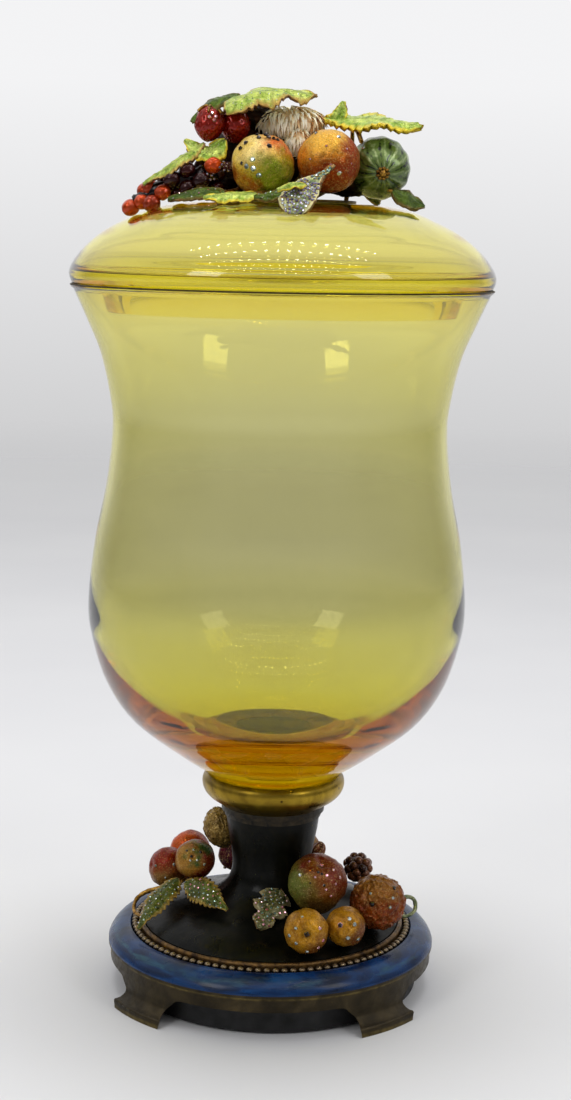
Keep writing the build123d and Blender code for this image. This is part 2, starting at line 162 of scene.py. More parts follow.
class Finish(Graph):
    """A material with one Principled shader, whose inputs can be given by name."""

    def __init__(self, name, **values):
        self.material = bpy.data.materials.new(name)
        self.material.use_nodes = True
        super().__init__(self.material.node_tree, "Object")
        self.shader = self.nodes["Principled BSDF"]
        for key, value in values.items():
            self.feed(self.shader.inputs[key.replace("_", " ")], value)

    def height(self):
        return self.part(self.place, 2)

    def grain(self, axis):
        """A number that the mesh code left on each point."""
        return self.part(self.node("Attribute", attribute_name="grain").outputs["Vector"], axis)

    def side(self, centre, direction, radius):
        """1 on the side of a round piece that direction points to, 0 on the far side."""
        shift = self.node("VectorMath", self.place, Vector(centre) * MM, operation="SUBTRACT").outputs[0]
        way = Vector(direction).normalized() / (2 * radius * MM)
        dot = self.node("VectorMath", shift, way, operation="DOT_PRODUCT").outputs["Value"]
        return self.sum("ADD", dot, 0.5)

    def colour(self, value):
        self.feed(self.shader.inputs["Base Color"], value)

    def paint(self, factor, *stops):
        self.colour(self.ramp(factor, *stops))

    def rough(self, scale, detail, low, high):
        """Roughness that wanders between low and high."""
        self.feed(self.shader.inputs["Roughness"], self.ramp((scale, detail), (0.3, low), (0.7, high)))

    def relief(self, *layers):
        """Bumps laid over each other, each from a height or the numbers for a noise, and a depth in
        millimetres. Returns the material."""
        under = self.shader.inputs["Normal"]
        for height, depth in reversed(layers):
            node = self.node("Bump", Strength=1.0, Distance=depth * MM,
                             Height=self.noise(*height) if isinstance(height, tuple) else height)
            self.feed(under, node.outputs["Normal"])
            under = node.inputs["Normal"]
        return self.material


# ---- materials: glass and metals ----------------------------------------------------------------
def amber_glass():
    """Amber glass, straw yellow where it is thin and orange where it is thick; its surface colour is greyer
    low down and round the bulge, and paler towards the rim.
    """
    finish = Finish("amber_glass", Transmission_Weight=1.0, Roughness=0.0, IOR=1.5)
    rise = finish.between(finish.height(), 100 * MM, 400 * MM)
    tints_by_height = [(0.76, 0.75, 0.76), (0.765, 0.755, 0.79), (0.85, 0.84, 0.87), (0.94, 0.92, 0.93),
             (0.93, 0.885, 0.85), (0.92, 0.88, 0.84), (0.93, 0.91, 0.92), (0.92, 0.9, 0.91)]
    places = (0.0, 0.4, 0.6, 0.74, 0.775, 0.83, 0.88, 1.0)
    finish.paint(rise, *((place, (*tint, 1)) for place, tint in zip(places, tints_by_height)))
    volume = finish.node("VolumeAbsorption", Color=(0.982, 0.952, 0.0, 1), Density=205)
    finish.feed(finish.nodes["Material Output"].inputs["Volume"], volume.outputs[0])
    return finish.material


def metal(name, dark, light, roughness, metallic=0.85, grain=260, pits=0.05):
    """Cast or turned metal, mottled from dark to light, with small pits."""
    finish = Finish(name, Metallic=metallic)
    finish.paint((grain, 6, 0.6), (0.34, dark), (0.66, light))
    finish.rough(grain * 2.4, 5, roughness * 0.7, min(1, roughness * 1.4))
    pitting = finish.between(finish.cells(grain * 4), 0.0, 0.4)
    return finish.relief(((grain * 5, 4), pits), (pitting, pits))


def stand_bronze():
    """Dark brown cast bronze, brighter along the toes of the feet and the plinth's top lip, where rubbed
    gilding and a painted highlight are laid together.
    """
    finish = Finish("stand_bronze", Metallic=0.8)
    height = finish.height()
    mottle = finish.noise(110, 8, 0.6)
    cast = finish.ramp(mottle, (0.3, (38, 32, 21)), (0.52, (54, 46, 30)), (0.76, (74, 63, 42)))
    rubbed_and_highlit = finish.ramp((340, 5), (0.3, (78, 66, 34)), (0.7, (122, 106, 60)))
    # Toes and top lip brighter: rubbed gilding and a painted highlight together, laid where the mottle is
    # light.
    toe = finish.between(height, 2.4 * MM, 1.2 * MM)
    lip = finish.band(height, 19.8 * MM, 1.0 * MM)
    wear_and_highlight = finish.times(finish.sum("MAXIMUM", toe, lip), finish.between(mottle, 0.2, 0.6))
    finish.colour(finish.blend(wear_and_highlight, cast, rubbed_and_highlit))
    finish.rough(420, 5, 0.3, 0.55)
    return finish.relief(((130, 6, 0.5), 0.3), ((1100, 4), 0.06))


def blue_enamel():
    """Deep blue enamel fired over metal, with paler and greener streaks that run round the band."""
    finish = Finish("blue_enamel_fired", Coat_Weight=0.16, Coat_Roughness=0.16, Specular_IOR_Level=0.15)
    height = finish.height()
    forward = finish.times(finish.part(finish.place, 1), -1.0)
    turn = finish.sum("ARCTAN2", finish.part(finish.place, 0), forward)
    flow = finish.node("CombineXYZ", finish.times(turn, 1.3), finish.times(height, 90.0)).outputs[0]
    deep = finish.ramp((3.2, 6, 0.6, flow), (0.3, (3, 19, 42)), (0.5, (6, 38, 78)), (0.72, (16, 64, 116)))
    pale = finish.ramp((6.0, 6, 0.8, flow), (0.3, (12, 44, 66)), (0.7, (54, 100, 116)))
    crown = finish.band(height, 26.6 * MM, 2.4 * MM)
    streaks = finish.between(finish.noise(2.6, 5, 1.0, flow), 0.48, 0.68)
    finish.colour(finish.blend(finish.times(crown, streaks), deep, pale))
    finish.rough(200, 4, 0.24, 0.36)
    return finish.relief(((140, 4), 0.12), ((900, 3), 0.03))


def dark_enamel():
    """Near-black enamel with a little green and brown in its depth."""
    finish = Finish("dark_enamel_fired", Specular_IOR_Level=0.1)
    finish.paint((120, 6, 1.2), (0.35, (4, 5, 3)), (0.55, (10, 11, 6)), (0.75, (24, 19, 10)))
    finish.rough(90, 5, 0.22, 0.4)
    return finish.relief(((120, 4), 0.3), ((700, 4), 0.05))


def bead_metal():
    """Beads with a painted highlight on top and painted shade low down between them."""
    finish = Finish("bead_metal", Metallic=0.9, Roughness=0.32)
    # Colour by height: near black low down for painted shade between the beads, pale on top for a painted
    # highlight.
    top = finish.between(finish.height(), 27.2 * MM, 30.0 * MM)
    finish.paint(top, (0.3, (10, 7, 5)), (0.7, (36, 27, 18)), (0.97, (138, 122, 98)))
    return finish.relief(((900, 4), 0.06))


def collar_gold():
    """Aged gilding with a few dark pits, and painted shade in olive brown towards its upper and lower edges.
    """
    finish = Finish("collar_gold", Metallic=0.95)
    gold = finish.ramp((60, 7, 1.0), (0.3, (104, 82, 24)), (0.55, (158, 130, 40)), (0.78, (196, 164, 60)))
    height = finish.height()
    # Painted shade: olive brown towards the collar's lower and upper edges, so that its middle reads as lit.
    below, above = finish.between(height, 94 * MM, 90 * MM), finish.between(height, 102 * MM, 105 * MM)
    painted_edge_shade = finish.sum("MAXIMUM", below, above)
    gold = finish.stain(gold, painted_edge_shade, 0.55, (70, 52, 16))
    spots = finish.between(finish.cells(110), 0.09, 0.05)
    finish.colour(finish.stain(gold, spots, 0.9, (36, 24, 10)))
    finish.rough(160, 5, 0.24, 0.4)
    return finish.relief(((90, 4), 0.12), ((600, 4), 0.04))


# ---- materials: enamelled fruit, leaves and stones ----------------------------------------------
def fruit_enamel(name, centre, radius, dark, light, patches=(), glitter=0.5, sugar=0.1):
    """Enamel over cast metal: a mottled ground, patches, some of other colours and some painted shade, and
    fine glitter.
    """
    finish = Finish(name, Metallic=0.35, Coat_Weight=0.08, Coat_Roughness=0.16, Specular_IOR_Level=0.16)
    paint = finish.ramp((190, 6, 0.8), (0.34, dark), (0.66, light))
    drift = finish.times(finish.sum("SUBTRACT", finish.noise(130, 5), 0.5), 0.7)
    for direction, start, end, shade in patches:
        reach = finish.sum("ADD", finish.side(centre, direction, radius), drift)
        paint = finish.blend(finish.between(reach, start, end), paint, shade)
    grains = finish.cells(2300, "Color")
    sparkle = finish.between(finish.part(grains, 0), 0.76, 0.95)
    paint = finish.stain(paint, sparkle, glitter, (240, 206, 128))
    shadow = finish.between(finish.part(grains, 1), 0.8, 0.97)
    paint = finish.stain(paint, shadow, 0.5, (72, 34, 12))
    finish.colour(paint)
    finish.rough(800, 3, 0.2, 0.45)
    return finish.relief(((420, 4), 0.2), (finish.cells(1700), sugar))


def leaf_enamel(name, ground, bright, edge, flecks=(236, 236, 190)):
    """Leaf enamel: grain x runs from stalk to tip, y from the midrib to the edge, z marks veins."""
    finish = Finish(name, Metallic=0.35, Coat_Weight=0.12, Coat_Roughness=0.16, Specular_IOR_Level=0.25)
    mottle = finish.noise(240, 6, 0.8)
    paint = finish.ramp(mottle, (0.36, ground), (0.62, bright))
    paint = finish.stain(paint, finish.between(finish.noise(1300, 3), 0.6, 0.7), 0.5, flecks)
    paint = finish.stain(paint, finish.between(finish.noise(900, 3, 0.5), 0.56, 0.68), 0.6, (52, 66, 20))
    paint = finish.stain(paint, finish.grain(2), 0.55, (66, 84, 26))
    rim = finish.sum("ADD", finish.grain(1), finish.times(finish.sum("SUBTRACT", mottle, 0.5), 0.5))
    paint = finish.blend(finish.between(rim, 0.62, 0.95), paint, edge)
    finish.colour(paint)
    finish.rough(700, 4, 0.22, 0.5)
    return finish.relief(((500, 4), 0.2), (finish.cells(1300), 0.08))


def gem(name, dark, light):
    """Foil-backed cut stone, so its facets flash; stones differ a little from each other."""
    finish = Finish(name, Metallic=0.75, Roughness=0.04, Coat_Weight=1.0, Coat_Roughness=0.02)
    finish.paint(finish.grain(0), (0.0, dark), (1.0, light))
    return finish.material


def berry_enamel(name, dark, light):
    """Glossy translucent enamel, with painted shade in the gaps, where cores left at grain x of 0 take the
    darkest tint; grain x tints each berry on its own.
    """
    finish = Finish(name, Coat_Weight=0.4, Coat_Roughness=0.05, Metallic=0.45, Roughness=0.22,
                    Specular_IOR_Level=0.2)
    tint = finish.sum("ADD", finish.grain(0), finish.times(finish.noise(420, 4), 0.5))
    finish.paint(tint, (0.2, dark), (1.0, light))
    return finish.relief(((650, 4), 0.15))


def burr_enamel():
    """Cream and brown; grain x gives each bristle its own tone, lowered at its root and under point for
    painted shade between the bristles.
    """
    finish = Finish("burr_bristles", Specular_IOR_Level=0.6)
    finish.colour(finish.ramp(finish.grain(0), (0.0, (150, 94, 44)), (0.2, (238, 196, 130)),
                              (0.4, (255, 246, 206)), (1.0, (255, 252, 232))))
    finish.rough(600, 3, 0.3, 0.6)
    return finish.relief(((900, 4), 0.12))


# ---- meshes: helpers ----------------------------------------------------------------------------
class Build:
    """Collects points and faces in millimetres, then makes one piece of them."""

    def __init__(self):
        self.points = []
        self.faces = []
        self.slots = []
        self.grains = []

    def add(self, points, faces, slot=0, grain=(0, 0, 0), grains=None):
        first = len(self.points)
        self.points += points
        self.faces += [[first + index for index in face] for face in faces]
        self.slots += [slot] * len(faces)
        self.grains += grains or [grain] * len(points)

    def piece(self, name, body, slot, materials, replaced=(), smooth=True, crease=40):
        mesh = bpy.data.meshes.new(name)
        mesh.from_pydata([Vector(point) * MM for point in self.points], [], self.faces)
        for material in materials:
            mesh.materials.append(material)
        mesh.polygons.foreach_set("material_index", self.slots)
        mesh.polygons.foreach_set("use_smooth", [smooth] * len(self.faces))
        if smooth:
            mesh.set_sharp_from_angle(angle=radians(crease))
        layer = mesh.attributes.new("grain", "FLOAT_VECTOR", "POINT")
        layer.data.foreach_set("vector", [number for grain in self.grains for number in grain])
        mesh.validate()
        thing = add_object(name, mesh)
        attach(thing, body)
        if replaced:
            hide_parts(*replaced)
        return thing


def axes(normal, towards=None):
    """Three axes at right angles: X leans to towards, Z is the normal."""
    z = Vector(normal).normalized()
    hint = Vector(towards) if towards else (Vector((1, 0, 0)) if abs(z.x) < 0.8 else Vector((0, 1, 0)))
    x = (hint - z * hint.dot(z)).normalized()
    return Matrix((x, z.cross(x), z)).transposed()


def smooth_line(points, steps):
    """Points on a Catmull-Rom curve through the given points."""
    ends = [points[0] * 2 - points[1], *points, points[-1] * 2 - points[-2]]
    line = []
    for a, b, c, d in zip(ends, ends[1:], ends[2:], ends[3:]):
        for step in range(steps):
            t = step / steps
            line.append(0.5 * (2 * b + (c - a) * t + (2 * a - 5 * b + 4 * c - d) * t ** 2
                               + (3 * b - a - 3 * c + d) * t ** 3))
    return [*line, points[-1]]


def polar(fall, spin):
    """A unit vector at an angle of fall from +Z, turned round it by spin."""
    return Vector((sin(fall) * cos(spin), sin(fall) * sin(spin), cos(fall)))


def circle(radius, height, count):
    """Points round the jar's axis."""
    turns = [2 * pi * index / count for index in range(count)]
    return [(radius * cos(turn), radius * sin(turn), height) for turn in turns]


def round_faces(rings, columns):
    """Faces of a closed round body: a point, rings of points, and a last point."""
    last = 1 + rings * columns
    faces = []
    for column in range(columns):
        after = (column + 1) % columns
        faces.append([0, 1 + column, 1 + after])
        faces.append([last, last - columns + after, last - columns + column])
        for here in range(1, last - columns, columns):
            faces.append([here + column, here + columns + column, here + columns + after, here + after])
    return faces


def sleeve_faces(rings, sides, looped=False):
    """Faces between rings of points; looped joins the last ring to the first."""
    faces = []
    for ring in range(rings if looped else rings - 1):
        here = ring * sides
        above = (ring + 1) % rings * sides
        for side in range(sides):
            after = (side + 1) % sides
            faces.append([here + side, here + after, above + after, above + side])
    return faces


def turned(build, outline, waviness, segments=256):
    """Turns an outline of (radius, height) pairs about the jar's axis; its two ends lie on the axis."""
    points = [(0, 0, outline[0][1])]
    for radius, height in outline[1:-1]:
        for x, y, _ in circle(1, 0, segments):
            reach = radius + waviness * noise.noise(Vector((x, y, height / 90)) * 1.6)
            points.append((reach * x, reach * y, height))
    points.append((0, 0, outline[-1][1]))
    build.add(points, round_faces(len(outline) - 2, segments))


def globe(build, centre, sizes, turn, relief, rows=72, slot=0, grain=(0, 0, 0)):
    """A round body of half-sizes along turn's axes. relief(direction) lifts its surface in millimetres."""
    columns = 2 * rows
    points = []
    for row in range(rows + 1):
        for column in range(columns if 0 < row < rows else 1):
            direction = polar(pi * row / rows, 2 * pi * column / columns)
            lift = relief(direction)
            local = Vector([direction[axis] * (sizes[axis] + lift) for axis in range(3)])
            points.append(Vector(centre) + turn @ local)
    build.add(points, round_faces(rows - 1, columns), slot, grain)


def tube(build, points, radius, sides=10, steps=8, knots=0.25, slot=0):
    """A knotty rod along a curve through the points, thinner at its end."""
    line = smooth_line([Vector(point) for point in points], steps)
    ring_points = []
    for index, point in enumerate(line):
        ahead = line[min(index + 1, len(line) - 1)] - line[max(index - 1, 0)]
        turn = axes(ahead, (0.3, 0.2, 1))
        girth = radius * (1 - 0.3 * index / len(line)) * (1 + knots * noise.noise(point * 0.45))
        ring_points += [point + turn @ Vector(spoke) * girth for spoke in circle(1, 0, sides)]
    last = len(ring_points) - sides
    ends = [list(range(sides))[::-1], list(range(last, last + sides))]
    build.add(ring_points, sleeve_faces(len(line), sides) + ends, slot)


def stone(build, seat, normal, radius, sides, slot, setting=GOLD):
    """A cut stone: sloping facets round a flat table, in a small metal cup."""
    turn = axes(normal)
    spin = dice.uniform(0, pi)
    rings = []
    for share, lift in ((1.12, -0.5), (1.12, 0.1), (0.92, 0.22), (0.5, 0.68)):
        angles = [spin + 2 * pi * side / sides for side in range(sides)]
        rings.append([Vector(seat) + turn @ Vector((cos(angle) * share, sin(angle) * share, lift)) * radius
                      for angle in angles])
    shade = (dice.random(), 0, 0)
    facets = sleeve_faces(2, sides)
    table = list(range(sides, 2 * sides))
    build.add(rings[0] + rings[1], facets, setting, shade)
    build.add(rings[1] + rings[2], facets, setting, shade)
    build.add(rings[2] + rings[3], [*facets, table], slot, shade)


def scatter_stones(build, centre, radius, towards, spread, count, size):
    """Stones on a round fruit, spiralling out from one direction with a little disorder."""
    turn = axes(towards)
    for index in range(count):
        fall = radians(spread) * sqrt((index + 0.5) / count) + dice.uniform(-0.05, 0.05)
        spin = GOLDEN_ANGLE * index + dice.uniform(-0.2, 0.2)
        normal = turn @ polar(fall, spin)
        stone(build, Vector(centre) + normal * radius, normal, size * dice.uniform(0.75, 1.15), 6, VIOLET)


def lumps(amount, size, seed=0.0):
    """Soft unevenness."""
    return lambda way: amount * noise.noise(way * size + Vector((seed, seed, 0)))


def dimple(depth, width):
    """A hollow round the +Z pole."""
    return lambda way: -depth * exp(-(acos(max(-1, min(1, way.z))) / width) ** 2)


def holes(count, depth, width, spread, seed):
    """Small pits about the +Z pole."""
    spots = []
    for index in range(count):
        spots.append(polar(spread * sqrt((index + 0.6) / count), GOLDEN_ANGLE * index + seed))

    def relief(way):
        nearest = max(way.dot(spot) for spot in spots)
        return -depth * exp(-(acos(min(1, nearest)) / width) ** 2)
    return relief


def ridges(amount, size, seed=0.0):
    """Winding ridges, like a walnut or a rough orange."""
    return lambda way: amount * (1 - 2.2 * abs(noise.noise(way * size + Vector((seed, 0, seed))))) ** 3


def together(*reliefs):
    return lambda way: sum(relief(way) for relief in reliefs)


def node_ball(node):
    """Centre and mean radius of a round CAD node."""
    low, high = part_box(node)
    return (Vector(low) + Vector(high)) / 2 / MM, sum(Vector(high) - Vector(low)) / 6 / MM


# ---- leaves -------------------------------------------------------------------------------------
def leaf(name, body, spine, up, width, enamel, edge, node=None, teeth=9, cup=0.3, ruffle=0.05, notch=0.15,
         lobes=0, deep=0.3, thickness=1.1, waves=2.5, swelling=0.72, fullness=0.6):
    """A cast leaf along a curved midrib: lobed, toothed, veined, cupped across and rippled at its edge.

    It replaces the given CAD node, or the one with its own name on the lid, if there is one.
    """
    rows = teeth * 6
    columns = 24
    ribs = 7
    midrib_width, vein_width = 0.7, 0.1
    line = smooth_line([Vector(point) for point in spine], 16)
    points = []
    grains = []
    for row in range(rows + 1):
        u = row / rows
        at = u * (len(line) - 1)
        first = min(int(at), len(line) - 2)
        along = line[first + 1] - line[first]
        turn = axes(up, along)
        swell = sin(pi * min(1, u ** swelling)) ** fullness if 0 < u < 1 else 0
        tooth = 1 - notch * (1 - (u * teeth) % 1) * min(1, 6 * (1 - u))
        if lobes:
            tooth *= 1 - deep * abs(cos(pi * lobes * u)) ** 3
        half = max(width / 2 * swell * tooth, 0.6)
        for column in range(columns + 1):
            v = 2 * column / columns - 1
            out = abs(v)
            vein_run = (u * ribs - out * 0.9 + 0.5) % 1 - 0.5
            rib = exp(-(v * half / midrib_width) ** 2) * (1 - 0.6 * u)
            vein = max(rib, 0.8 * exp(-(vein_run / vein_width) ** 2) * (0.12 < u < 0.95) * (out < 0.84))
            lift = ruffle * width * sin(waves * 2 * pi * u + 1.5 * (v > 0)) * out ** 2 - cup * half * v * v
            lift += 0.4 * vein + 0.5 * noise.noise(Vector((u * 5, v * 3, width)))
            back = -0.09 * width * out * (1 - u)
            place = line[first].lerp(line[first + 1], at - first)
            points.append(place + turn @ Vector((back, v * half, lift)))
            grains.append((u, out, vein))
    faces = []
    for row in range(rows):
        for here in range(row * (columns + 1), row * (columns + 1) + columns):
            faces.append([here, here + columns + 1, here + columns + 2, here + 1])
    build = Build()
    build.add(points, faces, grains=grains)
    replaced = [one for one in (node, "lid_" + name) if one in NODES]
    piece = build.piece(name, body, "leaf_enamel", [enamel, edge], replaced, crease=80)
    shell = piece.modifiers.new("thickness", "SOLIDIFY")
    shell.thickness = thickness * MM
    shell.offset = 0
    shell.material_offset_rim = 1
    return piece


# ---- glass --------------------------------------------------------------------------------------
def pairs(line, steps):
    return [(point.x, point.y) for point in smooth_line([Vector((*point, 0)) for point in line], steps)]


def glass_bowl(glass):
    """Thin blown walls over a thick solid bottom."""
    inside = [(8, 121.6), (30, 123.8), (52, 130.6), (69, 143.2), (81.2, 162.4), (87.4, 189.5), (84.6, 219),
              (79.2, 247), (76.4, 272.5), (77.5, 288), (81.5, 307), (88.1, 323.5), (94.2, 338.1)]
    outside = [(97.2, 336.4), (91.2, 323), (84.6, 307), (80.3, 288), (78.9, 272.5), (81.4, 247), (86.9, 219),
               (90, 189.5), (88, 171.8), (81.2, 151), (69.4, 133.6), (48.6, 117.2), (34.2, 107.5)]
    rim = [(94.5, 338.6), (98.2, 338.6), (98.6, 338.2), (98.6, 337.4)]
    foot = [(31.6, 105), (21.0, 101.5), (0, 101.5)]
    build = Build()
    turned(build, [(0, 121.5), *pairs(inside, 9), *rim, *pairs(outside, 9), *foot], 0.12)
    build.piece("bowl_glass", JAR, "amber_glass", [glass], ["bowl"], crease=32)


def ground_rim():
    """A dark ring standing in for the shadow line where the bowl's ground rim meets the lid: painted shade.
    """
    finish = Finish("rim_shadow_paint", Metallic=0.2)
    # Painted shade: dark brown for the shadow line between bowl and lid.
    finish.paint((240, 5), (0.35, (26, 20, 14)), (0.7, (74, 58, 34)))
    finish.rough(500, 4, 0.45, 0.75)
    finish.relief(((900, 4), 0.05))
    outline = [(98.4, 337.9), (98.8, 338.05), (98.85, 338.4), (98.5, 338.66), (97.6, 338.66), (97.6, 338.6),
               (98.3, 338.5)]
    segments = 256
    points = [point for radius, height in outline for point in circle(radius, height, segments)]
    build = Build()
    build.add(points, sleeve_faces(len(outline), segments, looped=True))
    build.piece("ground_rim", JAR, "plain_steel", [finish.material], crease=50)


def glass_lid(glass):
    """A thin dome on a flat ring, with a tapered flange below it."""
    outside = [(34, 377.2), (50, 375.9), (62, 373.1), (72, 368.9), (80, 364.9), (87, 360.2), (93, 354.6),
               (97.6, 348.6), (99.3, 343.8), (98.3, 339.8), (97.6, 338.7)]
    inside = [(92.6, 342.3), (94.8, 344.6), (94.2, 347.4), (90.7, 352.6), (85.1, 357.9), (78.4, 362.3),
              (70.6, 366.2), (60.9, 370.3), (49.4, 372.9), (33, 374.2)]
    flange = [(85.4, 338.7), (81.8, 327.4), (81.4, 327), (78.2, 327), (77.8, 327.4), (81.4, 342.2)]
    build = Build()
    turned(build, [(0, 377.2), *pairs(outside, 9), *flange, *pairs(inside, 9), (0, 374.2)], 0.08)
    build.piece("lid_glass_dome", LID, "amber_glass", [glass], ["lid_glass"], crease=32)


# ---- stand --------------------------------------------------------------------------------------
def dress(material, *nodes):
    for node in nodes:
        for slot in NODES[node].material_slots:
            slot.material = material


def dress_stand():
    """Materials for the CAD nodes that show as they are."""
    dress(stand_bronze(), "plinth")
    dress(blue_enamel(), "enamel_band")
    dress(dark_enamel(), "pedestal")
    dress(bead_metal(), "bead_border")
    dress(collar_gold(), "collar")
    # The near-black cover under the plinth is partly a black underside and partly painted shade for the deep
    # shadow beneath the stand.
    dress(metal("underside_black_and_shade", (3, 3, 3), (6, 6, 7), roughness=0.6, metallic=0.0, grain=40, pits=0.02),
          "base_cover")
    dress(metal("reed_bronze", (46, 32, 20), (122, 92, 50), roughness=0.4, metallic=0.85), "reed_ring")
    dress(metal("neck_metal", (18, 16, 12), (52, 44, 30), roughness=0.45, metallic=0.7), "neck_ring")
    dress(metal("turned_brass", (58, 44, 18), (116, 92, 42), roughness=0.4, metallic=0.9, grain=500),
          "cluster_plate")
    dress(metal("seat_bronze", (26, 18, 8), (58, 42, 18), roughness=0.5, metallic=0.8), "seat_plate")
    steel = metal("plated_steel", (96, 96, 94), (158, 158, 154), roughness=0.3, metallic=0.95, grain=500)
    dress(steel, "clamp_plate", "washer", "hex_nut", "tie_rod")
    dress(metal("aged_adhesive", (34, 30, 18), (74, 66, 40), roughness=0.5, metallic=0.0), "seat_pad",
          "bonding_pad")


# ---- fruit --------------------------------------------------------------------------------------
def paint_fruit(plans, sugar=0.1, rows=72):
    """Fruit in the place of CAD nodes. A plan gives a node, the slot, the way its eye points, its glitter,
    dark and light paint, patches, relief and, where it isn't round, its half-sizes."""
    for node, slot, eye, glitter, dark, light, patches, relief, *sizes in plans:
        centre, radius = node_ball(node)
        material = fruit_enamel(node + "_paint", centre, radius, dark, light, patches, glitter, sugar)
        build = Build()
        globe(build, centre, sizes or [radius] * 3, axes(eye), relief, rows)
        build.piece(node + "_fruit", LID if node.startswith("lid") else JAR, slot, [material], [node])


def base_fruit():
    """The fruit round the pedestal, each with its own colours and surface, all painted darker as well, as
    painted shade for the jar's shadow over the stand.
    """
    paint_fruit([
        ("base_peach_left", "peach_enamel", (-1, -0.4, 0.3), 0.2, (104, 32, 6), (138, 66, 16),
         [((-0.3, -0.5, 1), 0.5, 0.85, (126, 28, 6)), ((0.1, -0.6, -0.9), 0.5, 0.85, (122, 84, 32))],
         together(dimple(1.4, 0.3), lumps(0.5, 2.2, 3))),
        ("base_apple_front", "apple_enamel", (-0.1, -1, 0.5), 0.2, (98, 18, 5), (112, 40, 8),
         [((-0.5, -0.8, 0.35), 0.66, 0.92, (158, 112, 38)), ((0.15, -0.7, 0.8), 0.86, 0.97, (56, 78, 30))],
         together(dimple(1.0, 0.24), lumps(0.5, 2.0, 7))),
        ("base_peach_back", "peach_enamel", (-0.5, 0.5, 1), 0.2, (112, 16, 4), (134, 34, 6),
         [((-0.8, -0.6, 0.4), 0.6, 0.85, (196, 80, 22))], together(dimple(1.3, 0.3), lumps(0.5, 2.2, 1))),
        ("base_pear_back", "pear_enamel", (0.3, 1, 0.3), 0.2, (150, 134, 50), (130, 82, 20),
         [((0.5, 0.8, 0.8), 0.55, 0.85, (108, 34, 6))], together(dimple(1.2, 0.25), lumps(0.6, 1.8, 5))),
        ("base_apple_right", "apple_enamel", (0.2, -0.5, 1), 0.2, (108, 58, 8), (138, 90, 22),
         [((-1, -0.5, -0.3), 0.6, 0.9, (96, 104, 34)), ((0.8, -0.4, 0.5), 0.62, 0.95, (104, 34, 8)),
          ((0, -0.6, -1), 0.7, 0.95, (98, 68, 22)), ((0.1, -0.2, 1), 0.8, 0.98, (106, 34, 14))],
         together(dimple(1.8, 0.26), lumps(0.7, 1.8, 9), lumps(0.3, 5, 2))),
        ("base_orange_right", "orange_enamel", (-0.2, -1, 0.3), 0.2, (94, 34, 3), (134, 58, 6),
         [((0.0, -0.2, 1), 0.6, 0.9, (126, 78, 20))],
         together(ridges(0.9, 3.6, 4), lambda way: -0.7, dimple(0.8, 0.2), lumps(0.5, 6, 3))),
        # The kumquats' darker lower right patches are painted shade.
        ("base_kumquat_left", "ochre_enamel", (0, -1, 0.25), 0.2, (146, 96, 8), (192, 136, 22),
         [((0.6, -0.2, -0.8), 0.7, 0.95, (112, 62, 14))], together(dimple(2.4, 0.3), lumps(0.5, 2.4, 6))),
        ("base_kumquat_right", "ochre_enamel", (0.3, -1, 0.5), 0.2, (142, 92, 8), (186, 130, 20),
         [((1, -0.3, -0.5), 0.66, 0.9, (106, 56, 14))], together(dimple(1.2, 0.2), lumps(0.5, 2.4, 8)))])


def around(way):
    """The angle of a direction about the Z axis."""
    return Vector((way.x, way.y)).angle_signed(Vector((1, 0)), 0.0)


def oval_fruit():
    """Egg-shaped fruit and the bud."""
    paint_fruit([
        ("base_lemon", "ochre_enamel", (-0.4, 0.3, 1), 0.5, (94, 74, 34), (160, 128, 62), (),
         together(ridges(0.7, 4.2, 2), lumps(0.5, 2, 1)), 8.2, 8.2, 10.0),
        ("base_plum_back", "plum_enamel", (1, 0.3, 0.3), 0.5, (64, 18, 34), (128, 44, 62), (),
         lumps(0.6, 2, 4), 10.0, 10.0, 12.5),
        ("base_bud", "dark_berry_enamel", (0.6, 0.4, 1), 0.5, (60, 22, 20), (130, 70, 34), (),
         lambda way: 0.25 * cos(6 * around(way)), 3.6, 3.6, 4.6),
        ("lid_plum", "plum_enamel", (1, -0.2, 0.1), 0.5, (44, 14, 22), (102, 34, 44), (), lumps(0.7, 2, 4),
         12.2, 12.2, 14.0)], rows=56)


def lid_fruit():
    """The large fruit of the lid: the smooth pear, the rough orange and the quince behind them."""
    paint_fruit([
        ("lid_pear", "pear_enamel", (0.1, -0.3, 1), 0.4, (200, 148, 16), (244, 210, 80),
         [((-0.2, -0.7, 0.8), 0.74, 0.98, (240, 212, 132)), ((0.9, -0.3, 0.8), 0.72, 0.98, (206, 98, 16)),
          ((0.5, -0.6, -0.75), 0.6, 0.9, (132, 148, 22)), ((-0.7, -0.3, -0.9), 0.84, 0.98, (176, 92, 8))],
         together(dimple(1.6, 0.3), lumps(0.7, 1.7, 3), lumps(0.25, 6, 1))),
        # The orange's darker lower and right patches are painted shade.
        ("lid_orange", "orange_enamel", (0.5, -1, -0.4), 0.35, (196, 88, 6), (226, 134, 22),
         [((-0.1, -0.6, 0.9), 0.62, 0.92, (226, 170, 58)), ((0.3, -0.4, -0.9), 0.48, 0.78, (142, 50, 4)),
          ((1, -0.3, 0.0), 0.74, 0.95, (150, 54, 4))], together(lumps(0.6, 1.8, 8), lumps(0.25, 6, 3))),
        ("lid_quince", "ochre_enamel", (0.2, 1, 0.5), 0.4, (156, 130, 50), (206, 168, 72),
         [((-0.6, 0.6, 0.4), 0.6, 0.85, (180, 88, 40))], together(dimple(1.6, 0.28), lumps(0.8, 1.8, 5)))],
         0.12)


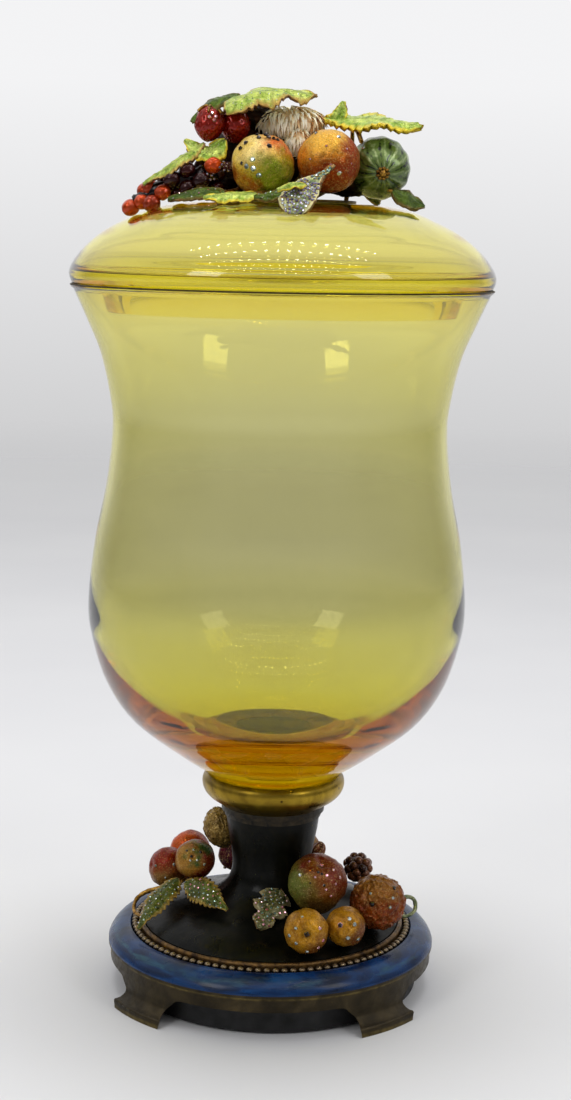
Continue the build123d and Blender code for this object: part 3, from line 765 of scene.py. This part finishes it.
def lid_core():
    """The dark casting that the fruit and leaves of the lid are fixed to."""
    finish = Finish("core_bronze", Metallic=0.5, Specular_IOR_Level=0.3)
    finish.paint((260, 6), (0.35, (16, 9, 5)), (0.7, (62, 36, 18)))
    finish.rough(400, 4, 0.4, 0.7)
    finish.relief(((300, 5), 0.4))
    build = Build()
    mounds = [((-18, 3, 402), (13, 8, 13)), ((-6, 2, 396), (15, 12, 12)), ((30, 0, 388), (14, 11, 7)),
              ((-30, -8, 386), (10, 8, 5)), ((-14, -1, 416), (12, 7, 5.5))]
    for index, (place, sizes) in enumerate(mounds):
        globe(build, place, sizes, UPRIGHT, together(lumps(1.2, 2, index), ridges(0.8, 4, index)), rows=32)
    build.piece("cluster_core", LID, "cast_bronze", [finish.material])


GOURD_EYE = (0.08, -1, -0.22)


def gourd():
    """A sage green melon with thin pale streaks and dark lines that meet at its blossom, and painted shade on
    its underside.
    """
    centre, radius = node_ball("lid_gourd")
    ribs = 13
    finish = Finish("gourd_stripes", Metallic=0.3, Roughness=0.26, Coat_Weight=0.4, Coat_Roughness=0.1,
                    Specular_IOR_Level=0.4)
    wander = finish.sum("SUBTRACT", finish.noise(260, 6, 1.5), 0.5)
    stripe = finish.sum("ADD", finish.grain(0), finish.times(wander, 0.8))
    sage = finish.ramp((300, 6, 1.0), (0.3, (76, 104, 38)), (0.7, (126, 150, 70)))
    pale = finish.ramp((620, 5), (0.3, (124, 150, 82)), (0.7, (190, 204, 140)))
    paint = finish.blend(finish.between(stripe, 0.72, 0.92), sage, pale)
    paint = finish.blend(finish.between(stripe, 0.2, 0.04), paint, (20, 34, 14))
    # Painted shade: a darker green over the gourd's underside.
    under = finish.between(finish.side(centre, (0.2, -0.3, -1), radius), 0.5, 0.95)
    paint = finish.stain(paint, under, 0.65, (44, 60, 24))
    finish.colour(paint)
    finish.relief(((500, 4), 0.2))
    turn = axes(GOURD_EYE)

    def relief(way):
        rib = 0.14 * sqrt(max(0, 1 - way.z ** 2)) * cos(ribs * around(way))
        return rib - 1.2 * exp(-((1 - abs(way.z)) / 0.02)) + 0.4 * noise.noise(way * 3)
    build = Build()
    globe(build, centre, (radius, radius, radius), turn, relief, rows=96)
    for index, point in enumerate(build.points):
        way = turn.transposed() @ (point - centre)
        jag = noise.noise(way * 0.3)
        build.grains[index] = (0.5 + 0.42 * cos(ribs * around(way) + 1.4 * jag) + 0.1 * jag, 0, 0)
    build.piece("gourd_shell", LID, "gourd_enamel", [finish.material], ["lid_gourd"])


def blossom(gold):
    """A knobbed gold button where the gourd's ribs meet."""
    centre, radius = node_ball("lid_gourd")
    turn = axes(GOURD_EYE)
    build = Build()
    for index in range(9):
        knob = centre + turn @ Vector(circle(2.4, radius - 0.6, 9)[index])
        globe(build, knob, (1.0, 0.8, 0.9), turn, lumps(0.1, 3, index), rows=8)
    globe(build, centre + turn @ Vector((0, 0, radius - 0.2)), (1.7, 1.7, 1.1), turn, lumps(0.3, 3), rows=12)
    build.piece("gourd_button", LID, "antique_gold", [gold], ["gourd_blossom"])


def bristle(build, root, way, side, length, width, shade):
    """One curved blade: wide and flat at the root, and pointed."""
    across = way.cross(side).normalized() * width / 2
    middle = root + way * length * 0.18 + side * length * 0.35
    point = root + way * length * 0.16 + side * length * 0.95
    lift = way * width * 0.18
    points = [root - across, root + across, middle - across * 0.85 + lift, middle + across * 0.85 + lift,
              point, root + side * width * 0.4, middle - way * width * 0.5]
    faces = [[0, 1, 3, 2], [2, 3, 4], [1, 0, 5], [0, 2, 6, 5], [1, 5, 6, 3], [2, 4, 6], [3, 6, 4]]
    # Root and under point take a lower grain than the blade: painted shade in the gaps between the bristles.
    grains = [(shade * 0.55, 0, 0)] * 2 + [(shade, 0, 0)] * 2 + [(min(1, shade + 0.2), 0, 0)]
    grains += [(shade * 0.5, 0, 0)] * 2
    build.add(points, faces, 0, grains=grains)


def shaggy(build, centre, sizes, count, longest, widest):
    """Bristles combed down all round a long core."""
    globe(build, centre, sizes * 0.84, UPRIGHT, lumps(0.5, 3), rows=20, grain=(0.3, 0, 0))
    for _ in range(count):
        height = dice.uniform(-1, 1)
        ring = sqrt(1 - height ** 2)
        spin = dice.uniform(-pi, pi)
        way = Vector((height, ring * cos(spin), ring * sin(spin)))
        root = centre + Vector([way[axis] * sizes[axis] * 0.84 for axis in range(3)])
        normal = Vector([way[axis] / sizes[axis] for axis in range(3)]).normalized()
        comb = Vector((0.2 * way.x + dice.uniform(-0.12, 0.12), 0.15 * way.y, -1))
        comb = (comb - normal * comb.dot(normal)).normalized()
        pale = 0.66 - 0.25 * way.x + 0.5 * noise.noise(way * 2.2) + dice.uniform(-0.45, 0.35)
        length = longest * dice.uniform(0.6, 1)
        bristle(build, root, normal, comb, length, widest * dice.uniform(0.6, 1), max(0, min(1, pale)))


def burr(material):
    """A shaggy chestnut burr, with a smaller tuft hanging below it."""
    low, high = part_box("lid_burr")
    centre = (Vector(low) + Vector(high)) / 2 / MM
    build = Build()
    shaggy(build, centre + Vector((0, -1, 1.2)), Vector((16.2, 8.4, 6.8)), count=620, longest=7.4, widest=1.9)
    shaggy(build, centre + Vector((3.6, -5.6, -7.6)), Vector((5.6, 5.0, 6.4)), count=200, longest=5.6,
           widest=1.6)
    build.piece("burr_shell", LID, "burr_enamel", [material], ["lid_burr"], crease=60)


def berries(name, node, body, slot, material, radius, berry, count):
    """Separate glossy drupelets over a core."""
    centre, _ = node_ball(node)
    build = Build()
    # The core keeps grain x at 0, the darkest tint: painted shade in the gaps between the berries.
    globe(build, centre, [radius - 0.8 * berry] * 3, UPRIGHT, lumps(0.2, 3), rows=14)
    for index in range(count):
        height = 1 - 2 * (index + 0.5) / count
        ring = sqrt(1 - height ** 2) * (radius - berry)
        place = centre + Vector((ring * cos(GOLDEN_ANGLE * index), ring * sin(GOLDEN_ANGLE * index),
                                 height * (radius - berry)))
        size = berry * dice.uniform(0.86, 1.02)
        tint = (dice.random() * 0.6, 0, 0)
        globe(build, place, [size] * 3, UPRIGHT, lumps(0.12, 3, index), rows=12, grain=tint)
    build.piece(name, body, slot, [material], [node])


def strawberries(material, gold):
    """Two strawberries with seed pits, wide at the top, under a small calyx."""
    along = 8.2
    plans = [("lid_strawberry_left", 0.1, 6.9, 0), ("lid_strawberry_right", -0.1, 7.0, 1.5)]
    for node, lean, across, shift in plans:
        centre = node_ball(node)[0] - Vector((shift, shift, 0))
        turn = axes((lean, 0, 1))
        build = Build()
        pits = holes(110, depth=0.45, width=0.07, spread=pi * 0.98, seed=0.3)

        def pointed(way):
            return -0.16 * across * max(0, -way.z) ** 1.5 * sqrt(max(0, 1 - way.z ** 2))
        skin = together(pits, pointed, lumps(0.3, 2, across))
        globe(build, centre, (across, across, along), turn, skin, rows=60, grain=(0.3, 0, 0))
        for index in range(6):
            spin = 2 * pi * index / 6 + 0.4
            heading = Vector((cos(spin) * across, sin(spin) * across, 0))
            sepal = [centre + turn @ (heading * out + Vector((0, 0, along * up)))
                     for out, up in ((0, 0.98), (0.5, 0.92), (0.9, 0.62))]
            tube(build, sepal, 0.8, sides=8, steps=5, slot=1)
        build.piece(node + "_fruit", LID, "red_enamel", [material, gold], [node])


def grape_bunch(materials):
    """Bunch down the lid's slope, dark by the pear and brick red at its tip, round a dark core."""
    stalk = [Vector((-31, -19.5, 388.5)), Vector((-50.5, -17.5, 386)), Vector((-69, -15, 375))]
    radius = 3.6
    tries = 160
    places = []
    for index in range(tries):
        t = index / (tries - 1)
        place = stalk[0] * (1 - t) ** 2 + stalk[1] * 2 * t * (1 - t) + stalk[2] * t ** 2
        heading = ((stalk[1] - stalk[0]) * (1 - t) + (stalk[2] - stalk[1]) * t).normalized()
        side = heading.cross(Vector((0, 0, 1))).normalized()
        spin = GOLDEN_ANGLE * index
        place += (side * cos(spin) + side.cross(heading) * sin(spin)) * 6.3 * (1 - t) ** 0.55
        if all((place - other).length > 2.02 * radius for other, _ in places):
            places.append((place, t))
    places += [(Vector(extra), 1) for extra in ((-70, -15, 373.4), (-63.4, -14.2, 381), (-60, -20, 375.4))]
    build = Build()
    for index, (place, t) in enumerate(places):
        size = radius * dice.uniform(0.98, 1.1)
        slot = 1 if t > 0.62 or index == 1 else 0
        globe(build, place, (size, size, size * 1.08), axes(stalk[2] - stalk[0]), lumps(0.25, 2, index),
              rows=22, slot=slot, grain=(0.2 + dice.random() * 0.5, 0, 0))
    core = [(-30, -18, 389.5), (-40, -17.5, 387.6), (-50, -16.8, 384.6), (-60, -15.8, 380.2),
            (-68, -15.2, 375.8)]
    # The core keeps grain x at 0, the darkest tint: painted shade in the gaps between the grapes.
    tube(build, core, 4.6, sides=16, knots=0.5)
    tube(build, [(-40, -14, 398), (-45, -16, 391), (-52, -17, 386)], 1.0, slot=2)
    build.piece("grape_bunch", LID, "red_enamel", materials, ["lid_grapes"])


# ---- leaves, twigs and stones -------------------------------------------------------------------
def all_leaves(gold):
    """Every leaf, from its stalk to its tip."""
    lime = leaf_enamel("leaf_lime", (126, 156, 36), (204, 216, 104), (186, 148, 72))
    dark = leaf_enamel("leaf_dark", (40, 60, 3), (84, 108, 12), (104, 80, 26), (124, 140, 44))
    bright = leaf_enamel("leaf_bright", (134, 168, 44), (208, 222, 108), (226, 196, 40))
    olive = leaf_enamel("leaf_olive", (38, 48, 10), (98, 106, 34), (156, 126, 56), (176, 160, 84))
    ivy = leaf_enamel("leaf_ivy", (44, 48, 28), (108, 104, 68), (150, 136, 96))
    frost = leaf_enamel("leaf_frost", (96, 118, 70), (186, 190, 128), (214, 206, 150))
    yellow = metal("leaf_edge_yellow", (168, 136, 18), (232, 208, 52), roughness=0.36, metallic=0.55,
                   grain=420, pits=0.08)
    brown = metal("leaf_edge_brown", (92, 62, 30), (176, 140, 88), roughness=0.42, metallic=0.7, grain=420,
                  pits=0.08)
    leaf("leaf_top_left", LID, [(12, -7, 424.4), (3, -9, 426.6), (-9, -12, 426.4), (-19, -17, 423),
                                (-27, -22, 416.8)], (0, -0.42, 1), 25, lime, brown, cup=0.34, ruffle=0.06,
         lobes=3, deep=0.42, teeth=12, notch=0.2, swelling=1.25, thickness=1.5)
    leaf("leaf_back_left", LID, [(-22, -10, 424.4), (-33, -14, 421), (-42.6, -16, 412)], (-0.2, -0.6, 1), 11,
         dark, brown)
    leaf("leaf_mid_left", LID, [(-27.6, -19.4, 403.6), (-33.5, -21.4, 398.8), (-39, -20, 399.6),
                                (-45.4, -15, 404)], (-0.1, -0.8, 0.7), 13, bright, brown, lobes=2, teeth=8)
    leaf("leaf_long", LID, [(-37, -19, 402), (-50, -21.4, 393), (-64, -18.8, 383.8)], (-0.35, -0.55, 0.8),
         9.5, lime, brown, teeth=13, notch=0.24, fullness=0.8)
    leaf("leaf_right", LID, [(20, -6, 414.6), (33, -10, 414.6), (47, -13, 413.6), (61.5, -17, 411.4)],
         (0.05, -0.36, 1), 27, bright, yellow, cup=0.12, teeth=13, notch=0.3, thickness=2.1, lobes=3,
         deep=0.2, waves=2)
    leaf("leaf_right_curl", LID, [(22, -9, 412.6), (24.2, -8.4, 417), (26.4, -6.4, 423)], (-0.35, -1, 0.2),
         8.5, bright, brown, teeth=6)
    leaf("leaf_small_right", LID, [(49.6, -17, 382.6), (56.6, -18, 379.4), (64, -15.4, 376.2)],
         (0.1, -0.8, 0.6), 10, dark, dark, teeth=6, cup=0.2, notch=0.08, swelling=0.95)
    leaf("leaf_front_left", LID, [(-12.5, -42.5, 379.7), (-24, -44.5, 378.9), (-35.5, -43, 377.9)],
         (0, -0.6, 1), 10, bright, brown, teeth=8)
    leaf("leaf_under_grapes", LID, [(-27, -32, 380.4), (-39, -33, 380.2), (-52, -29, 377.2)], (0, -0.7, 0.8),
         9, dark, brown, teeth=8, cup=0.2)
    leaf("leaf_crystal", LID, [(21, -42, 391.6), (15, -50, 387), (8, -59, 380), (3, -65, 370.6)],
         (-0.3, -0.95, 0.6), 17.5, frost, brown, cup=-0.08, notch=0.08, swelling=2.9, thickness=1.4)
    leaf("leaf_crystal_fringe", LID, [(9, -57, 383.6), (3, -60, 383.6), (-3, -61, 381)], (0, -0.6, 0.8), 4.6,
         bright, brown, teeth=5)
    leaf("leaf_beside_crystal", LID, [(1, -48, 381.4), (-6.5, -51, 378.8), (-13, -50, 378.4)], (0, -0.8, 0.7),
         6.5, dark, brown, teeth=6, cup=0.2)
    leaf("leaf_back", LID, [(-4, 25, 396), (-10, 45, 390), (-14, 60, 378.6)], (0, 0.3, 1), 20, lime, gold,
         cup=0.25, lobes=3)
    leaf("leaf_back_right", LID, [(28, 20, 390), (38, 35, 387), (46, 48, 378.4)], (0.3, 0.3, 1), 17, olive,
         gold, cup=0.25, lobes=3)
    leaf("leaf_base_long", JAR, [(-46, -3.4, 49.6), (-55.5, -17, 43.4), (-63.4, -29, 33.8)],
         (-0.3, -0.7, 0.8), 14, olive, brown, "base_leaf_long", teeth=12, notch=0.24, fullness=0.95)
    leaf("leaf_base_short", JAR, [(-41, -9.4, 50.2), (-31, -21, 49.6), (-20.6, -30.5, 44.6)],
         (-0.3, -0.9, 0.8), 15, olive, brown, "base_leaf_short", cup=0.25, teeth=12, notch=0.24,
         fullness=0.95)
    leaf("leaf_ivy", JAR, [(3.4, -24.5, 52), (-0.6, -34, 47.4), (-5.4, -42.5, 40)], (0.1, -0.8, 0.9), 19, ivy,
         brown, "base_ivy_leaf", teeth=8, lobes=3, deep=0.4)
    leaf("leaf_base_back", JAR, [(1, 53, 42), (-13, 57, 41), (-25, 57.5, 36.2)], (0, 0.5, 1), 15, olive, gold,
         "base_leaf_back", cup=0.25)


def twigs(gold, green):
    """Stems on the stand and the lid, and the stand's tendril. Each rod has a radius and its points."""
    pieces = [
        ("base_twig_loop", JAR, "antique_gold", gold, "base_twigs",
         [(1.2, (-54.5, 3, 43.5), (-62, 2.4, 41.2), (-66.5, 0, 38), (-66.6, -8, 34.9), (-61, -17, 35)),
          (1.2, (-39, 18, 42), (-40, 11, 46.2), (-42, 2, 48.6), (-44.3, -3.8, 49))]),
        ("base_tendril_curl", JAR, "leaf_enamel", green, "base_tendril",
         [(1.15, (61.5, -8, 41.5), (66.5, -1, 42.6), (70.6, 1.6, 40), (70.6, -1.6, 35.8), (66, -5, 34),
           (61.5, -5.5, 35.6))]),
        ("lid_stem_rods", LID, "antique_gold", gold, "lid_stems",
         [(1.2, (-28.5, -8, 378.7), (-29.3, -6.6, 391), (-28.8, -6, 403)),
          (1.2, (29, 9, 378.7), (30.6, 7.6, 399), (31, 3, 408), (30.5, -1, 413.6)),
          (1.4, (30.5, -1, 413.4), (32.6, -14, 410), (34.4, -21, 404.6)),
          (1.1, (-6, -24, 382), (-9.4, -36, 380.8), (-14.6, -42.6, 380)),
          (1.1, (-18, -20, 384), (-22.6, -27, 381.6), (-29, -32.2, 380.6)),
          (1.1, (6, -24, 382), (4.6, -38, 381.8), (-0.6, -48.2, 381.4)),
          (1.1, (34, -4, 386), (43, -13.4, 385), (51.6, -17.2, 382))])]
    for name, body, slot, material, node, rods in pieces:
        build = Build()
        for radius, *points in rods:
            tube(build, points, radius)
        build.piece(name, body, slot, [material], [node])


def facing(right, up):
    """The way out of a round piece at a point so far right of and above its middle, seen from the front."""
    tilt = radians(9.2)
    out = sqrt(max(0, 1 - right ** 2 - up ** 2))
    return Vector((right, up * sin(tilt) - out * cos(tilt), up * cos(tilt) + out * sin(tilt)))


def stud(build, plans):
    """Stones on the front of round nodes. A group has a size, a cut (sides, slot, setting) and its places."""
    for node, groups in plans.items():
        centre, radius = node_ball(node)
        for size, cut, *places in groups:
            for right, up in places:
                normal = facing(right, up)
                stone(build, centre + normal * (radius - 0.1), normal, size * dice.uniform(0.85, 1.1), *cut)


def pave(build, plans):
    """Stones over the upper sides of leaves, from start to end along each and up to edge on both sides."""
    for name, size, gap, start, end, edge, slots in plans:
        mesh = bpy.data.objects[name].data
        grain = mesh.attributes["grain"].data
        placed = []
        for vertex in mesh.vertices:
            u, out, _ = grain[vertex.index].vector
            place = vertex.co / MM
            if start < u <= end and out < edge and all((place - other).length > gap for other in placed):
                placed.append(place)
                normal = vertex.normal if vertex.normal.y < 0 or vertex.normal.z > 0 else -vertex.normal
                stone(build, place + normal * 0.6, normal, size * dice.uniform(0.8, 1.1), 6,
                      dice.choice(slots))


def set_stones(gold):
    """Crystals: round ones in cups, dark square ones in the fruits' pits, and paved leaves."""
    clear = gem("gem_clear", (110, 128, 128), (226, 234, 234))
    pink = gem("gem_pink", (190, 104, 128), (246, 206, 214))
    violet = gem("gem_violet", (84, 76, 108), (176, 172, 200))
    aqua = gem("gem_aqua", (70, 118, 112), (176, 214, 200))
    black = gem("gem_dark", (14, 8, 6), (40, 24, 18))
    slots = [clear, gold, pink, violet, aqua, black]
    cup = (8, CLEAR)
    pink_cup = (8, PINK)
    pit = (5, BLACK, BLACK)
    build = Build()
    stud(build, {
        "lid_pear": [(0.95, pit, (-0.13, 0.77), (0.19, 0.8), (0.35, 0.76), (0.48, 0.72), (-0.55, 0.6),
                      (-0.72, 0.42), (-0.66, -0.1), (0.1, 0.9), (-0.2, 0.93)), (1.2, pit, (0.21, 0.44)),
                     (1.25, (8, CLEAR, AQUA), (-0.3, -0.02), (-0.28, -0.3), (-0.1, -0.5), (-0.5, -0.22))],
        "lid_orange": [(1.0, pit, (-0.42, 0.8)), (1.15, cup, (0.28, 0.62), (0.32, -0.52)),
                       (0.55, pink_cup, (-0.1, 0.3), (0.55, 0.25), (-0.6, -0.1), (0.05, -0.3), (0.7, -0.2))],
        "lid_gourd": [(1.3, cup, (-0.55, 0.5))],
        "lid_strawberry_left": [(0.8, pink_cup, (0.2, 0.5), (0.45, 0.3), (0.05, 0.25), (0.35, 0.05))]})
    pave(build, [
        ("leaf_crystal", 0.85, 1.5, 0.48, 1, 0.9, [VIOLET, VIOLET, VIOLET, CLEAR]),
        ("leaf_crystal", 1.1, 2.1, 0.08, 0.44, 0.8, [AQUA, AQUA, CLEAR]),
        ("leaf_beside_crystal", 0.5, 2.4, 0.15, 0.9, 0.7, [CLEAR, AQUA]),
        ("leaf_under_grapes", 0.5, 3.6, 0.15, 0.9, 0.7, [CLEAR, PINK]),
        ("leaf_top_left", 0.45, 3.4, 0.2, 0.9, 0.8, [CLEAR]),
        ("leaf_right", 0.5, 3.6, 0.1, 0.7, 0.3, [BLACK])])
    for centre, way in (((-52, -20.2, 384.6), (-0.2, -1, 0.6)), ((-55, -20, 380.4), (-0.1, -1, 0.5)),
                        ((-33.5, -25.6, 388), (0, -1, 0.3)), ((-27.6, -26.4, 392), (0.2, -1, 0.4))):
        scatter_stones(build, Vector(centre) + Vector((0, 3, -1)), 3.5, way, spread=50, count=7, size=0.6)
    build.piece("lid_stones", LID, "crystal", slots, ["lid_crystals"], smooth=False)
    build = Build()
    stud(build, {
        "base_apple_right": [(0.85, pink_cup, (0.12, 0.72), (0.52, 0.56), (0.6, 0.1), (0.28, -0.06),
                              (-0.3, 0.8), (0.3, 0.4), (0.75, 0.3), (0.45, -0.3), (-0.1, 0.35)),
                             (1.0, cup, (-0.6, 0.38)), (0.8, pit, (0.0, 0.5), (0.13, 0.46), (0.22, 0.08),
                                                        (-0.25, 0.15))],
        "base_orange_right": [(1.1, pit, (-0.25, 0.1), (0.55, 0.62)),
                              (0.8, cup, (0.4, -0.02), (-0.3, 0.45), (0.5, 0.3))],
        "base_kumquat_left": [(0.95, cup, (-0.48, 0.28), (-0.45, -0.4), (-0.2, 0.75), (0.05, -0.8),
                               (-0.75, -0.1)), (0.95, pink_cup, (0.6, 0.28), (0.55, -0.62), (0.75, -0.3)),
                              (1.5, (4, BLACK, BLACK), (0.02, 0.04))],
        "base_kumquat_right": [(1.25, (5, BLACK, PINK), (-0.3, 0.24)),
                               (1.05, cup, (0.16, 0.55), (0.42, 0.28), (0.1, -0.4), (0.62, -0.5))],
        "base_apple_front": [(0.75, cup, (-0.2, 0.1), (0.15, 0.12), (0.5, -0.1), (-0.05, 0.62)),
                             (0.7, pit, (-0.4, 0.55), (0.3, 0.5), (-0.15, 0.3))],
        "base_peach_left": [(0.8, cup, (0.3, 0.3), (-0.1, -0.35), (0.1, -0.62), (-0.6, 0.2))]})
    pave(build, [("leaf_base_short", 0.6, 2.5, 0.1, 0.95, 0.75, [CLEAR, PINK, AQUA]),
                 ("leaf_base_long", 0.55, 2.6, 0.1, 0.95, 0.75, [AQUA, CLEAR]),
                 ("leaf_ivy", 0.7, 2.3, 0.05, 0.95, 0.85, [CLEAR, AQUA, PINK])])
    build.piece("base_stones", JAR, "crystal", slots, ["base_crystals"], smooth=False)


# ---- studio -------------------------------------------------------------------------------------
def softbox(name, place, aim, width, height, power, mirrored=True):
    """A soft lamp; an unmirrored one doesn't show in metal or glass."""
    data = bpy.data.lights.new(name, "AREA")
    data.shape = "RECTANGLE"
    data.size = width
    data.size_y = height
    data.energy = power
    lamp = add_object(name, data)
    lamp.visible_glossy = mirrored
    lamp.visible_transmission = mirrored
    turn = (Vector(aim) - Vector(place)).to_track_quat("-Z", "Y").to_matrix()
    lamp.matrix_world = Matrix.Translation(place) @ turn.to_4x4()


def lamp_dots():
    """The ceiling lamp's small diodes, which show only as rows of sparks in the glass."""
    columns, rows = 18, 7
    pitch, row_pitch = 0.085, 0.28
    half = 0.012
    corners = []
    for column in range(columns):
        for row in range(rows):
            x = (column - (columns - 1) / 2) * pitch
            y = (row - (rows - 1) / 2) * row_pitch
            corners += [(x + across, y + away, 0) for across, away in ((half, -half), (-half, -half),
                                                                       (-half, half), (half, half))]
    mesh = bpy.data.meshes.new("lamp_dots")
    mesh.from_pydata(corners, [], [range(first, first + 4) for first in range(0, len(corners), 4)])
    dots = add_object("lamp_dots", mesh)
    dots.location = (0, -0.7, 1.72)
    dots.visible_camera = False
    dots.visible_diffuse = False
    dots.visible_shadow = False
    glow = Finish("diode_glow", Emission_Strength=36.0, Emission_Color=(1, 0.97, 0.92, 1))
    mesh.materials.append(glow.material)


def make_room():
    """A pale room, darker behind the camera and low down at both sides, where its light edges the glass."""
    world = bpy.data.worlds.new("room")
    bpy.context.scene.world = world
    world.use_nodes = True
    room = Graph(world.node_tree, "Generated")
    across, away, up = (room.part(room.place, axis) for axis in range(3))
    rise = room.node("Math", up, 0.5, 0.5, operation="MULTIPLY_ADD").outputs[0]
    greys = [(0.0, 0.60), (0.44, 0.60), (0.54, 0.90), (1.0, 0.90)]
    wall = room.ramp(rise, *((place, (grey, grey, grey * 1.012, 1)) for place, grey in greys))
    behind = room.between(away, -0.9, 0.1, 0.3)
    beside = room.between(room.sum("ABSOLUTE", across), 0.55, 0.85, 0.0, 0.75)
    low = room.between(up, 0.4, 0.1)
    share = room.times(behind, room.sum("SUBTRACT", 1.0, room.times(beside, low)))
    room.feed(room.nodes["Background"].inputs["Color"], room.blend(1.0, wall, share, "MULTIPLY"))


def make_floor():
    """Pale paper that fades out into the room."""
    mesh = bpy.data.meshes.new("floor")
    corners = 64
    mesh.from_pydata(circle(3.0, 0, corners), [], [range(corners)])
    add_object("floor", mesh)
    finish = Finish("floor_paper", Roughness=0.75)
    finish.paint((3, 3), (0.3, (212, 212, 214)), (0.7, (218, 218, 219)))
    reach = finish.node("VectorMath", finish.place, operation="LENGTH").outputs["Value"]
    finish.feed(finish.shader.inputs["Alpha"], finish.between(reach, 2.9, 0.9))
    mesh.materials.append(finish.material)


def make_studio():
    """The room, the floor, three soft lamps and the ceiling lamp's sparks."""
    make_room()
    make_floor()
    middle = (0, 0, 0.2)
    softbox("softbox_left", (-1.0, -1.1, 1.1), middle, width=0.5, height=0.6, power=5)
    softbox("softbox_right", (1.1, -0.9, 1.1), middle, width=0.5, height=0.6, power=4)
    softbox("softbox_top", (0, 0.1, 1.7), middle, width=0.8, height=0.5, power=13, mirrored=False)
    lamp_dots()
    scene = bpy.context.scene
    scene.view_settings.view_transform = "Standard"
    scene.cycles.max_bounces = 32
    scene.cycles.transmission_bounces = 32
    scene.cycles.glossy_bounces = 32
    scene.cycles.transparent_max_bounces = 16


# ---- build --------------------------------------------------------------------------------------
make_camera()
make_studio()
amber = amber_glass()
glass_bowl(amber)
glass_lid(amber)
ground_rim()
dress_stand()
# Leafed gold with brown showing through.
worn_gold = metal("antique_gold_worn", (84, 54, 20), (186, 142, 62), roughness=0.34, metallic=0.9, grain=420,
                  pits=0.08)
base_fruit()
oval_fruit()
lid_fruit()
lid_core()
gourd()
blossom(worn_gold)
burr(burr_enamel())
berries("bramble", "base_bramble", JAR, "dark_berry_enamel",
        berry_enamel("berry_dark", (34, 16, 14), (126, 74, 40)), radius=8.1, berry=2.6, count=26)
berries("crimson_berry", "base_red_berry", JAR, "red_enamel",
        berry_enamel("berry_crimson", (84, 8, 18), (176, 32, 44)), radius=5.4, berry=2.0, count=18)
strawberries(berry_enamel("berry_red", (56, 5, 1), (192, 34, 10)), worn_gold)
grape_bunch([berry_enamel("berry_grape", (8, 2, 3), (64, 12, 10)),
             berry_enamel("berry_brick", (100, 16, 3), (206, 72, 12)), worn_gold])
all_leaves(worn_gold)
twigs(worn_gold, leaf_enamel("tendril_green", (78, 92, 62), (138, 142, 100), (120, 110, 70)))
set_stones(worn_gold)
